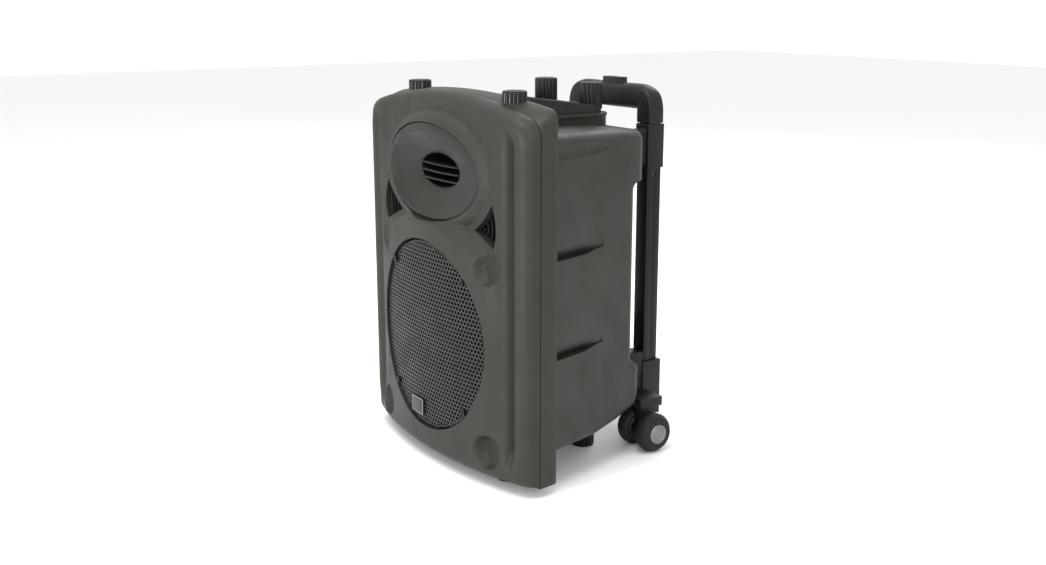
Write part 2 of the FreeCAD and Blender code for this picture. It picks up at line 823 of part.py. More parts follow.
def fluted(name, height):
    """A round rubber foot with upright grooves."""
    part = body(name)
    disc = sketch_on(part, "XY_Plane", name + "_disc")
    circle(disc, "Sheet.foot_radius")
    pad(part, disc, height)
    doc.recompute()
    flute = sketch_on(part, "XY_Plane", name + "_flute")
    circle(flute, "1.3", "Sheet.foot_radius + 0.3")
    pocket = part.newObject("PartDesign::Pocket", name + "_groove")
    pocket.Profile = flute
    pocket.Type = "ThroughAll"
    pocket.Reversed = True
    part.Tip = pocket
    doc.recompute()
    pattern = part.newObject("PartDesign::PolarPattern", name + "_grooves")
    pattern.Originals = [pocket]
    pattern.Axis = (flute, ["N_Axis"])
    pattern.Angle = 360
    pattern.Occurrences = 20
    part.Tip = pattern
    return part


def raw(name, shape):
    """A shape that only serves as a tool."""
    obj = doc.addObject("Part::Feature", name)
    obj.Shape = shape
    return obj


def make_feet():
    """Stacking feet on top and base feet below."""
    front = fluted("front_top_foot", "34")
    place(front, "Sheet.front_foot_x", "Sheet.front_foot_y", "Sheet.foot_top - 34")
    frame = raw("frame_form", prism(seam_outline(0, -40), 10).fuse(rim_form(0, 0)))
    front_feet = cut("front_top_feet", pair("front_top_pair", front), [frame])

    rear = fluted("rear_top_foot", "42")
    place(rear, "Sheet.rear_foot_x", "Sheet.rear_foot_y", "Sheet.foot_top - 42")
    tray = raw("tray_form", tray_outside())
    rear_feet = cut("rear_top_feet", pair("rear_top_pair", rear), [tray])
    publish(group("top_feet", [front_feet, rear_feet]), "stacking_feet")

    short = fluted("front_base_foot", "Sheet.frame_bottom")
    place(short, "Sheet.front_foot_x", "-24", "0")

    tall = fluted("rear_base_foot", "76")
    place(tall, "Sheet.base_foot_x", "Sheet.base_foot_y", "0")
    floor = raw("floor_form", body_form(0))
    tall_feet = cut("rear_base_feet", pair("rear_base_pair", tall), [floor])
    publish(group("bottom_feet", [pair("front_base_pair", short), tall_feet]), "base_feet")


def slope_cutter(drop):
    """Everything above the tray rim's sloping plane, lowered by drop."""
    points = []
    for y in (-50, 260):
        points.append(Vector(-200, y, size.tray_front_height - drop - size.tray_fall * y))
    points.append(Vector(-200, 260, 700))
    points.append(Vector(-200, -50, 700))
    return Part.Face(Part.makePolygon(points + points[:1])).extrude(Vector(400, 0, 0))


def tray_outside():
    """The tray's outer form."""
    solid = plan_prism(size.tray_half, 2, size.tray_rear, 26, size.collar_top, 560)
    return solid.cut(slope_cutter(0))


def make_tray():
    """Oval tray on the collar, with a rim that falls to the rear."""
    dish = plan_prism(size.tray_half - 5, 8, 144, 22, size.collar_top - 1, 560)
    floor = plan_prism(size.tray_half - 4, 6, 146, 22, size.collar_top - 1, 560)
    floor = floor.cut(slope_cutter(14))
    below = plan_prism(size.tray_half - 5, 8, size.tray_rear - 5, 22, size.collar_top - 1, 560)
    below = below.cut(slope_cutter(17)).cut(plan_prism(4, 2, 200, 1, 480, 560))
    tray = tray_outside().cut(dish.cut(floor)).cut(below)
    feature("top_tray", tray.removeSplitter())


# ------------------------------------------------------------ trolley


def slab(name, x, y, z):
    """A block between pairs of bound limits."""
    sides = [f"({limits[1]}) - ({limits[0]})" for limits in (x, y, z)]
    return box(name, sides, (x[0], y[0], z[0]))


def around(centre, half):
    """Limits at equal distances from a centre."""
    return (f"{centre} - ({half})", f"{centre} + ({half})")


TUBE_X = "Sheet.tube_x"
TUBE_Y = "Sheet.tube_y"
OUTER_X = around(TUBE_X, "Sheet.tube_width / 2")
OUTER_Y = around(TUBE_Y, "Sheet.tube_depth / 2")
BORE_X = around(TUBE_X, "Sheet.tube_width / 2 - Sheet.tube_wall")
BORE_Y = around(TUBE_Y, "Sheet.tube_depth / 2 - Sheet.tube_wall")
INNER_X = around(TUBE_X, "Sheet.tube_width / 2 - Sheet.tube_wall - Sheet.slide_gap")
INNER_Y = around(TUBE_Y, "Sheet.tube_depth / 2 - Sheet.tube_wall - Sheet.slide_gap")
PLUG_X = around(TUBE_X, "Sheet.tube_width / 2 - 2 * Sheet.tube_wall - Sheet.slide_gap")
PLUG_Y = around(TUBE_Y, "Sheet.tube_depth / 2 - 2 * Sheet.tube_wall - Sheet.slide_gap")


def make_outer_tubes():
    """Fixed tubes of the trolley, each with two detent holes."""
    tube = slab("outer_tube", OUTER_X, OUTER_Y, ("40", "Sheet.clamp_high - 1"))
    bore = slab("outer_bore", BORE_X, BORE_Y, ("42", "Sheet.clamp_high"))
    low = rod("detent_low", "3.2", "10", (TUBE_X + " + 6", TUBE_Y, "Sheet.pin_z"), "X")
    high = rod("detent_high", "3.2", "10", (TUBE_X + " + 6", TUBE_Y, "Sheet.detent_z"), "X")
    publish(pair("outer_tube_pair", cut("outer_tube_hollow", tube, [bore, low, high])), "outer_tubes")


def make_clamps():
    """Brackets that hold the upper ends of the fixed tubes."""
    height = ("Sheet.clamp_low", "Sheet.clamp_high")
    shell = slab("clamp_shell", (TUBE_X + " - 14.5", TUBE_X + " + 15"),
                 (TUBE_Y + " - 14.5", TUBE_Y + " + 15"), height)
    arm = slab("clamp_arm", around(TUBE_X, "9"), ("Sheet.body_depth", TUBE_Y + " - 14"), ("420", "470"))
    foot = slab("clamp_foot", around(TUBE_X, "14"), ("Sheet.body_depth", "Sheet.body_depth + 5"),
                ("414", "462"))
    window = slab("clamp_window", around(TUBE_X, "20"), ("Sheet.body_depth + 12", TUBE_Y + " - 20"),
                  ("432", "458"))
    bore = slab("clamp_bore", OUTER_X, OUTER_Y, ("400", "500"))
    shape = cut("clamp", join("clamp_solid", [shell, arm, foot]), [bore, window])
    publish(pair("clamp_pair", shape), "upper_clamps")


def make_sockets():
    """Brackets at the foot of the tubes; they also carry the wheels."""
    shell = slab("socket_shell", (TUBE_X + " - 14.5", TUBE_X + " + 15"), (TUBE_Y + " - 15", "272"),
                 ("32", "Sheet.socket_high"))
    pad_block = slab("socket_pad", around(TUBE_X, "13"), ("Sheet.body_depth", TUBE_Y + " - 14"),
                     ("101", "134"))
    neck = slab("socket_neck", around(TUBE_X, "12"), ("199", TUBE_Y + " - 14"), ("62", "104"))
    fender = slab("socket_fender", (TUBE_X + " - 12", "Sheet.stem_x + 6.5"), ("199", "240"), ("62", "76"))
    stem = slab("socket_stem", around("Sheet.stem_x", "6.5"), around("Sheet.wheel_y", "11"), ("18", "64"))
    bore = slab("socket_bore", OUTER_X, OUTER_Y, ("40", "200"))
    hole = rod("socket_hole", "Sheet.axle_radius", "40",
               ("Sheet.stem_x - 20", "Sheet.wheel_y", "Sheet.wheel_radius"), "X")
    shape = cut("socket", join("socket_solid", [shell, pad_block, neck, fender, stem]), [bore, hole])
    publish(pair("socket_pair", shape), "lower_sockets")


def make_inner_tubes():
    """Sliding tubes with their end plugs' pin holes."""
    tube = slab("inner_tube", INNER_X, INNER_Y, ("60", "Sheet.grip_low + 1"))
    bore = slab("inner_bore", PLUG_X, PLUG_Y, ("50", "600"))
    hole = rod("pin_hole", "3.05", "12", (TUBE_X, TUBE_Y, "Sheet.pin_z"), "X")
    publish(pair("inner_tube_pair", cut("inner_tube_hollow", tube, [bore, hole])), "inner_tubes")
    plug = slab("end_plug", PLUG_X, PLUG_Y, ("60", "84"))
    guide = rod("pin_guide", "3.05", "30", (TUBE_X + " - 5", TUBE_Y, "Sheet.pin_z"), "X")
    publish(pair("end_plug_pair", cut("end_plug_bored", plug, [guide])), "tube_end_plugs")


def make_pins():
    """Spring-loaded pins that lock the handle at its two heights."""
    pin = rod("lock_pin", "3", "11", (TUBE_X + " - 0.65", TUBE_Y, "Sheet.pin_z"), "X")
    publish(mirrored("lock_pin_mirror", pin), "lock_pin_left")
    publish(pin, "lock_pin_right")


def make_grip():
    """Grip bar on two legs, hollow for the release mechanism."""
    bar = slab("grip_bar", ("-Sheet.grip_half", "Sheet.grip_half"), around(TUBE_Y, "Sheet.grip_depth / 2"),
               ("Sheet.grip_low", "Sheet.grip_high"))
    legs = pair("grip_legs", slab("grip_leg", (TUBE_X + " - 13", "Sheet.grip_half"),
                                  around(TUBE_Y, "Sheet.grip_depth / 2 - 0.5"),
                                  ("Sheet.clamp_high + 0.6", "Sheet.grip_low + 4")))
    solid = join("grip_solid", [bar, legs])
    rounded = doc.addObject("Part::Fillet", "grip_rounded")
    rounded.Base = solid
    doc.recompute()
    rounded.Edges = grip_edges(solid.Shape)
    channel = slab("grip_channel", around("0", "Sheet.tube_x + 5"), around(TUBE_Y, "10.6"), ("501", "524"))
    shaft = pair("grip_shafts", slab("grip_shaft", INNER_X, INNER_Y, ("470", "Sheet.grip_low + 1")))
    throat = pair("grip_throats", rod("grip_throat", "4", "20", (TUBE_X, TUBE_Y, "Sheet.grip_low - 5")))
    window = slab("button_window", around("0", "25.4"), around(TUBE_Y, "8.4"), ("520", "550"))
    publish(cut("grip", rounded, [channel, shaft, throat, window]), "trolley_grip")


def grip_edges(shape):
    """Fillets: large on the bar's ends, smaller along its length."""
    chosen = []
    for number, edge in enumerate(shape.Edges, start=1):
        direction = edge.tangentAt(edge.FirstParameter)
        middle = edge.CenterOfMass
        along_y = abs(direction.y) > 0.9
        along_x = abs(direction.x) > 0.9
        if along_y and middle.z > size.grip_high - 1:
            chosen.append((number, 16, 16))
        elif along_x and middle.z > size.grip_high - 1:
            chosen.append((number, 6, 6))
    return chosen


def make_release():
    """Button, the yoke that it pushes, and the spring that lifts it."""
    cap = slab("button_cap", around("0", "20"), around(TUBE_Y, "8"), ("523", "Sheet.button_high"))
    flange = slab("button_flange", around("0", "28"), around(TUBE_Y, "10"), ("516", "523.7"))
    publish(join("button", [cap, flange]), "release_button")
    bar = slab("yoke_bar", around("0", "Sheet.tube_x + 4"), around(TUBE_Y, "5"), ("510", "516"))
    rods = pair("yoke_rods", rod("yoke_rod", "3", "424", (TUBE_X, TUBE_Y, "90")))
    publish(join("yoke", [bar, rods]), "release_yoke")
    coil = doc.addObject("Part::Helix", "spring_path")
    coil.setExpression("Pitch", "2.4")
    coil.setExpression("Height", "7.6")
    coil.setExpression("Radius", "3.6")
    place(coil, "0", TUBE_Y, "501.7")
    ring = doc.addObject("Part::Circle", "spring_wire")
    ring.setExpression("Radius", "0.5")
    ring.Placement = Placement(Vector(), Rotation(Vector(1, 0, 0), 90))
    for axis, expression in zip("xyz", ("3.6", TUBE_Y, "501.7")):
        ring.setExpression(f".Placement.Base.{axis}", expression)
    sweep = doc.addObject("Part::Sweep", "spring_sweep")
    sweep.Sections = [ring]
    sweep.Spine = (coil, [])
    sweep.Solid = True
    sweep.Frenet = True
    publish(sweep, "button_spring")


# ------------------------------------------------------------- wheels


def wheel_nodes():
    """Side, place and middle of each of the four small wheels."""
    for side, side_name in ((1, "right"), (-1, "left")):
        for step, place_name in ((-1, "inner"), (1, "outer")):
            yield side, f"{side_name}_{place_name}", f"{side} * (Sheet.stem_x + {step} * Sheet.wheel_spread)"


def make_wheels():
    """Twin wheels at each side: a hub and a round tyre each."""
    half = "Sheet.wheel_width / 2"
    for side, name, middle in wheel_nodes():
        spot = (middle, "Sheet.wheel_y", "Sheet.wheel_radius")
        tyre = about_x(f"tyre_{name}_turned", [
            (f"-{half} + 1", "19"), (f"{half} - 1", "19"), (f"{half} - 0.4", "23"), (f"{half} - 3.5", "26.8"),
            ("6", "28.5"), ("2.5", "Sheet.wheel_radius"), ("-2.5", "Sheet.wheel_radius"), ("-6", "28.5"),
            (f"-{half} + 3.5", "26.8"), (f"-{half} + 0.4", "23"),
        ])
        publish_body(tyre, f"tyre_{name}", *spot)
        bore = "Sheet.axle_radius + 0.05"
        hub = about_x(f"hub_{name}_turned", [
            (f"-{half}", bore), (f"{half}", bore), (f"{half}", "17"), (f"{half} - 1", "19"),
            (f"-{half} + 1", "19"), (f"-{half}", "17"),
        ])
        publish_body(hub, f"hub_{name}", *spot)
    axle = rod("axle", "Sheet.axle_radius", "2 * Sheet.wheel_spread + Sheet.wheel_width",
               ("Sheet.stem_x - Sheet.wheel_spread - Sheet.wheel_width / 2", "Sheet.wheel_y",
                "Sheet.wheel_radius"), "X")
    publish(pair("axle_pair", axle), "wheel_axles")
    cap = about_x("hub_cap_turned", [
        ("0", "0"), ("2", "0"), ("2", "6"), ("1.2", "7"), ("1.2", "9"), ("2", "10"), ("2", "13"),
        ("1", "14.8"), ("0", "14.8"),
    ])
    place(cap, "Sheet.stem_x + Sheet.wheel_spread + Sheet.wheel_width / 2", "Sheet.wheel_y",
          "Sheet.wheel_radius")
    publish(pair("hub_cap_pair", cap), "hub_caps")


# --------------------------------------------------------- rear panel


PANEL_BACK = "Sheet.recess_y"
PANEL_FACE = "Sheet.recess_y + 3"
KNOBS = ("microphone", "music", "bass", "treble")
KEYS = ("previous", "play", "next")


def knob_x(index):
    return f"(({index} - 1.5) * Sheet.knob_pitch)"


def key_x(index):
    return f"(({index} - 1) * 18)"


def make_amp_panel():
    """Steel plate in the rear recess with all its cut-outs."""
    plate = slab("amp_plate", around("0", "Sheet.panel_half"), (PANEL_BACK, PANEL_FACE),
                 ("Sheet.panel_low", "Sheet.panel_high"))
    holes = []
    for index in range(len(KNOBS)):
        holes.append(rod(f"knob_hole_{index}", "3.05", "20",
                         (knob_x(index), "Sheet.recess_y - 5", "Sheet.knob_z"), "Y"))
    holes.append(slab("player_cutout", around("0", "44"), ("170", "190"), ("286", "344")))
    for index, x in enumerate(JACKS):
        holes.append(rod(f"jack_hole_{index}", "6", "20", (str(x), "Sheet.recess_y - 5", "250"), "Y"))
    holes.append(slab("switch_cutout", around("-36", "9"), ("170", "190"), around("190", "12")))
    holes.append(slab("inlet_cutout", around("24", "14.5"), ("170", "190"), around("190", "11")))
    for index, (x, z) in enumerate(panel_screw_spots()):
        holes.append(rod(f"panel_hole_{index}", "1.6", "20", (str(x), "Sheet.recess_y - 5", str(z)), "Y"))
    publish(cut("amp_plate_cut", plate, holes), "amp_panel")


def make_panel_screws():
    """Screws round the amplifier panel."""
    screws = []
    for x, z in panel_screw_spots():
        head = front_hole(x, z, 3, size.recess_y + 3, size.recess_y + 4.6)
        shank = front_hole(x, z, 1.55, size.recess_y - 6, size.recess_y + 3)
        cross = block((x - 1.8, x + 1.8), (size.recess_y + 4, size.recess_y + 6), (z - 0.4, z + 0.4))
        screws.append(head.fuse(shank).cut(cross))
    feature("panel_screws", Part.makeCompound(screws))


def make_bracket_screws():
    """Screws that hold the trolley's brackets to the body."""
    screws = []
    for side in (-1, 1):
        for z in CLAMP_SCREWS + SOCKET_SCREWS:
            start = size.body_depth
            screws.append(front_hole(side * size.tube_x, z, 2.1, start - 14, start))
    feature("bracket_screws", Part.makeCompound(screws))


def make_player():
    """Media player insert with a display window and three keys."""
    plate = slab("player_plate", around("0", "48"), (PANEL_FACE, "Sheet.recess_y + 5"), ("282", "348"))
    tub = slab("player_tub", around("0", "43.5"), ("Sheet.recess_y - 12", "Sheet.recess_y + 4"),
               ("286.5", "343.5"))
    screen_seat = slab("screen_seat", around("0", "24"), ("Sheet.recess_y + 3.4", "Sheet.recess_y + 9"),
                       ("318", "338"))
    keys = []
    for index in range(len(KEYS)):
        keys.append(slab(f"key_hole_{index}", around(key_x(index), "6.3"), ("Sheet.recess_y - 4", "200"),
                         around("300", "4.3")))
    slot = slab("card_slot", around("36", "5"), ("Sheet.recess_y - 8", "200"), around("328", "2.5"))
    publish(cut("player", join("player_solid", [plate, tub]), [screen_seat, slot] + keys), "player_panel")
    screen = slab("screen", around("0", "24"), ("Sheet.recess_y + 3.4", "Sheet.recess_y + 5"), ("318", "338"))
    publish(screen, "player_screen")
    for index, name in enumerate(KEYS):
        key = slab(f"key_{index}", around(key_x(index), "6"),
                   ("Sheet.recess_y - 1.6", "Sheet.recess_y + 6.6"),
                   around("300", "4"))
        publish(key, f"{name}_key")


def make_knobs():
    """Four rotary knobs on their shafts."""
    for index, name in enumerate(KNOBS):
        spot = (knob_x(index), "Sheet.recess_y", "Sheet.knob_z")
        knob = about_y(f"knob_{index}_turned", [
            ("0", "-8"), ("3", "-8"), ("3", "3.6"), ("Sheet.knob_radius + 1.2", "3.6"),
            ("Sheet.knob_radius + 1.2", "5.2"), ("Sheet.knob_radius", "6.4"), ("Sheet.knob_radius - 1", "13"),
            ("Sheet.knob_radius - 2", "14"), ("0", "14"),
        ])
        publish_body(knob, f"{name}_knob", *spot)


def make_jacks():
    """Four sockets for plugs, in one row."""
    jacks = []
    for index, x in enumerate(JACKS):
        barrel = rod(f"jack_{index}", "5.9", "22", (str(x), "Sheet.recess_y - 17", "250"), "Y")
        nut = rod(f"jack_nut_{index}", "8", "2.4", (str(x), PANEL_FACE, "250"), "Y")
        hole = rod(f"jack_bore_{index}", "3.2", "40", (str(x), "Sheet.recess_y - 13", "250"), "Y")
        jacks.append(cut(f"jack_cut_{index}", join(f"jack_solid_{index}", [barrel, nut]), [hole]))
    publish(group("jacks", jacks), "signal_jacks")


def make_switch():
    """Rocker switch: a fixed frame and the rocker that tilts in it."""
    rim = slab("switch_rim", around("-36", "10.5"), (PANEL_FACE, "Sheet.recess_y + 4.6"),
               around("190", "13.5"))
    sleeve = slab("switch_sleeve", around("-36", "8.9"), ("Sheet.recess_y - 14", PANEL_FACE),
                  around("190", "11.9"))
    hollow = slab("switch_hollow", around("-36", "7"), ("Sheet.recess_y - 10", "200"), around("190", "10.6"))
    publish(cut("switch", join("switch_solid", [rim, sleeve]), [hollow]), "power_switch_frame")
    rocker = body("rocker")
    profile = sketch_on(rocker, "YZ_Plane", "rocker_profile")
    polygon(profile,
            [("-2", "-8.6"), ("5.4", "-9.2"), ("3.6", "0"), ("5.4", "9.2"), ("-2", "8.6"), ("-4", "0")])
    solid = pad(rocker, profile, "13.2")
    solid.Midplane = True
    rocker.Label = "power_rocker"
    turn = Rotation(Vector(1, 0, 0), -7)
    place(rocker, "-36", "Sheet.recess_y + 1 - Sheet.datum_y", "190", turn)
    nodes.append(rocker)


def make_inlet():
    """Mains inlet with three flat pins."""
    rim = slab("inlet_rim", around("24", "17"), (PANEL_FACE, "Sheet.recess_y + 5"), around("190", "14"))
    shell = slab("inlet_shell", around("24", "14.4"), ("Sheet.recess_y - 18", PANEL_FACE),
                 around("190", "10.9"))
    cavity = slab("inlet_cavity", around("24", "12"), ("Sheet.recess_y - 14", "200"), around("190", "8.2"))
    inlet = cut("inlet_hollow", join("inlet_solid", [rim, shell]), [cavity])
    pins = []
    for index, (x, z) in enumerate(((17, 188), (24, 192), (31, 188))):
        pins.append(slab(f"inlet_pin_{index}", around(str(x), "1"), ("Sheet.recess_y - 15", "Sheet.recess_y"),
                         around(str(z), "2.6")))
    publish(join("inlet", [inlet] + pins), "mains_inlet")


def make_electronics():
    """Amplifier board, transformer and battery inside the body."""
    board = slab("board", around("0", "50"), ("150", "151.6"), ("156", "386"))
    parts = [board]
    for index, z in enumerate((180, 214, 248)):
        parts.append(rod(f"capacitor_{index}", "11", "28", ("-26", "122.2", str(z)), "Y"))
    for index in range(7):
        fin = slab(f"fin_{index}", around(f"(8 + {index} * 6)", "1.2"), ("112", "146"), ("290", "370"))
        parts.append(fin)
    parts.append(slab("sink", around("26", "20"), ("145", "150.4"), ("290", "370")))
    publish(join("board_solid", parts), "amplifier_board")
    core = slab("core", ("62", "128"), ("28", "72"), ("56", "112"))
    coil = slab("coil", ("72", "118"), ("20", "80"), ("64", "104"))
    publish(join("transformer", [core, coil]), "mains_transformer")
    case = slab("battery_case", ("-132", "-42"), ("16", "82"), ("56", "120"))
    post_low = rod("battery_post_low", "5", "6", ("-118", "60", "120"))
    post_high = rod("battery_post_high", "5", "6", ("-56", "60", "120"))
    publish(join("battery_solid", [case, post_low, post_high]), "battery")


# --------------------------------------------------------------- build


def check_and_write():
    """Stop on any failed object, then write one file per sub-part."""
    doc.recompute()
    for obj in doc.Objects:
        if "Invalid" in obj.State or "Error" in obj.State:
            raise RuntimeError(f"{obj.Name} failed: {obj.State}")
    os.makedirs("parts", exist_ok=True)
    whole = FreeCAD.BoundBox()
    for obj in nodes:
        shape = obj.Shape
        if shape.isNull() or not shape.isValid() or not shape.Solids:
            raise RuntimeError(f"{obj.Label} has no valid solid")
        whole.add(shape.optimalBoundingBox())
        shape.exportStep(f"parts/{obj.Label}.step")
        limits = shape.optimalBoundingBox()
        print(f"{obj.Label:20s} solids {len(shape.Solids):2d} volume {shape.Volume / 1000:8.2f} cm3 "
              f"x {limits.XMin:7.1f} {limits.XMax:7.1f} y {limits.YMin:7.1f} {limits.YMax:7.1f} "
              f"z {limits.ZMin:6.1f} {limits.ZMax:6.1f}")
    print(f"{len(nodes)} nodes, x {whole.XMin:.2f}..{whole.XMax:.2f}, "
          f"y {whole.YMin:.2f}..{whole.YMax:.2f}, z {whole.ZMin:.2f}..{whole.ZMax:.2f}")


make_front_baffle()
make_baffle_screws()
make_gasket()
make_rear_cabinet()
make_horn()
feature("port_louvres", Part.makeCompound([louvre(-1), louvre(1)]))
make_compression_driver()
make_grille()
make_grille_screws()
make_badge()
make_woofer()
make_surround()
make_basket()
make_woofer_screws()
make_tray()
make_feet()
make_outer_tubes()
make_clamps()
make_sockets()
make_inner_tubes()
make_pins()
make_grip()
make_release()
make_wheels()
make_amp_panel()
make_panel_screws()
make_bracket_screws()
make_player()
make_knobs()
make_jacks()
make_switch()
make_inlet()
make_electronics()
check_and_write()
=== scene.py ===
import json
import math
import bmesh
import bpy
from mathutils import Matrix, Vector


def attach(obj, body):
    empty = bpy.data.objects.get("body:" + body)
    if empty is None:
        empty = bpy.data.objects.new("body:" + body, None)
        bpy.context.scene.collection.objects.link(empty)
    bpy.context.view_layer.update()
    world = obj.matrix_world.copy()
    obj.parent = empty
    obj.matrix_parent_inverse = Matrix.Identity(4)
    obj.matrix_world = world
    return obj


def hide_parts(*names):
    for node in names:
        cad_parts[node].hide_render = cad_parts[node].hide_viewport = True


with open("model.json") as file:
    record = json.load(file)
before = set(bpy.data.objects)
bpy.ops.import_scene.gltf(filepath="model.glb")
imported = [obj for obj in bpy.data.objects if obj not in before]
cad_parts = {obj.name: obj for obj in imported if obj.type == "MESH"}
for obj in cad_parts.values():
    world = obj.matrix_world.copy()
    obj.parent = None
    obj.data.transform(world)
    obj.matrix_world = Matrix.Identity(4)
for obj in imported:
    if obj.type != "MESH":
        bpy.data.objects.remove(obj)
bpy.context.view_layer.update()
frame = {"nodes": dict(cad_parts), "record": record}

MM = 0.001
RIM_REAR = -93.0    # rim's rear face, in the object's frame; lengths here are in millimetres
SEAM = RIM_REAR - 31.0
FRONT = RIM_REAR - 86.0
BOW = 645.0
BASE = "cabinet"


# ------------------------------------------------------------ shader sums


class Value:
    """A number in a material that varies over the surface."""

    def __init__(self, finish, socket):
        self.finish = finish
        self.socket = socket

    def _sum(self, operation, left, right):
        node = self.finish.add("ShaderNodeMath", {"operation": operation}, {0: left, 1: right})
        return Value(self.finish, node.outputs[0])

    def __add__(self, other):
        return self._sum("ADD", self, other)

    def __radd__(self, other):
        return self._sum("ADD", other, self)

    def __sub__(self, other):
        return self._sum("SUBTRACT", self, other)

    def __rsub__(self, other):
        return self._sum("SUBTRACT", other, self)

    def __mul__(self, other):
        return self._sum("MULTIPLY", self, other)

    def __rmul__(self, other):
        return self._sum("MULTIPLY", other, self)


class Finish:
    """A material under construction, with one principled surface."""

    def __init__(self, name):
        self.material = bpy.data.materials.new(name)
        self.material.use_nodes = True
        self.tree = self.material.node_tree
        self.surface = self.tree.nodes["Principled BSDF"]
        coordinates = self.add("ShaderNodeTexCoord", {}, {})
        self.place = coordinates.outputs["Object"]

    def add(self, kind, settings, sockets):
        """A node: its type, its settings, then the values or links of its sockets."""
        node = self.tree.nodes.new(kind)
        for key, setting in settings.items():
            setattr(node, key, setting)
        for key, entry in sockets.items():
            self.feed(node.inputs[key], entry)
        return node

    def feed(self, socket, entry):
        if isinstance(entry, Value):
            entry = entry.socket
        if isinstance(entry, bpy.types.NodeSocket):
            self.tree.links.new(entry, socket)
        else:
            socket.default_value = entry

    def noise(self, scale, detail=3.0, rough=0.5, place=None):
        """Cloudy noise; scale is in features per metre."""
        node = self.add("ShaderNodeTexNoise", {}, {
            "Vector": place or self.place, "Scale": scale, "Detail": detail, "Roughness": rough})
        return Value(self, node.outputs["Fac"])

    def stretched(self, factors):
        """Coordinates pulled out along the directions with small factors."""
        node = self.add("ShaderNodeMapping", {}, {"Vector": self.place, "Scale": factors})
        return node.outputs["Vector"]

    def step(self, value, low, high, start=0.0, end=1.0):
        """Soft change from start to end as a value passes from low to high."""
        node = self.add("ShaderNodeMapRange", {"interpolation_type": "SMOOTHSTEP"}, {
            "Value": value, "From Min": low, "From Max": high, "To Min": start, "To Max": end})
        return Value(self, node.outputs["Result"])

    def edge(self):
        """One on raised edges, zero elsewhere."""
        node = self.add("ShaderNodeNewGeometry", {}, {})
        return self.step(Value(self, node.outputs["Pointiness"]), 0.52, 0.58)

    def mix(self, factor, first, second):
        node = self.add("ShaderNodeMix", {"data_type": "RGBA"}, {"Factor": factor, "A": first, "B": second})
        return node.outputs["Result"]

    def bump(self, height, distance, strength=1.0):
        node = self.add("ShaderNodeBump", {}, {"Height": height, "Distance": distance, "Strength": strength})
        self.feed(self.surface.inputs["Normal"], node.outputs["Normal"])

    def set(self, **entries):
        """Values or links for the surface's own sockets, named in lower case."""
        for key, entry in entries.items():
            socket = key.replace("_", " ").title().replace("Ior", "IOR")
            self.feed(self.surface.inputs[socket], entry)


def shade(colour, factor):
    """A colour made lighter or darker, with full alpha."""
    return tuple(min(1.0, part * factor) for part in colour[:3]) + (1.0,)


def moulded(name, colour, roughness, grain, depth, worn=1.35, metallic=0.0, specular=0.26):
    """Moulded or painted surface: cloudy tone, fine grain and lighter worn edges."""
    finish = Finish(name)
    cloud = finish.noise(9.0, 4.0)
    speck = finish.noise(grain, 2.0)
    base = finish.mix(finish.step(cloud, 0.3, 0.7), shade(colour, 0.93), shade(colour, 1.07))
    fleck = finish.mix(finish.step(speck, 0.35, 0.75) * 0.5, base, shade(colour, 0.8))
    rubbed = finish.edge() * finish.step(finish.noise(60.0, 3.0), 0.35, 0.7) * 0.6
    finish.set(base_color=finish.mix(rubbed, fleck, shade(colour, worn)))
    smear = finish.step(finish.noise(22.0, 5.0), 0.35, 0.7, -0.05, 0.06)
    finish.set(roughness=smear + roughness - rubbed * 0.08)
    finish.set(metallic=metallic, specular_ior_level=specular)
    finish.bump(speck + finish.noise(grain * 2.3, 1.0) * 0.5, depth)
    return finish.material


def brushed(name, colour, roughness, direction, metallic=1.0):
    """Metal with fine lines along one direction."""
    finish = Finish(name)
    lines = finish.noise(900.0, 2.0, 0.6, finish.stretched(direction))
    base = finish.mix(lines, shade(colour, 0.85), shade(colour, 1.12))
    finish.set(base_color=finish.mix(finish.edge() * 0.4, base, shade(colour, 1.3)))
    finish.set(roughness=lines * 0.16 + (roughness - 0.08))
    finish.set(metallic=metallic)
    finish.bump(lines, 0.00005)
    return finish.material


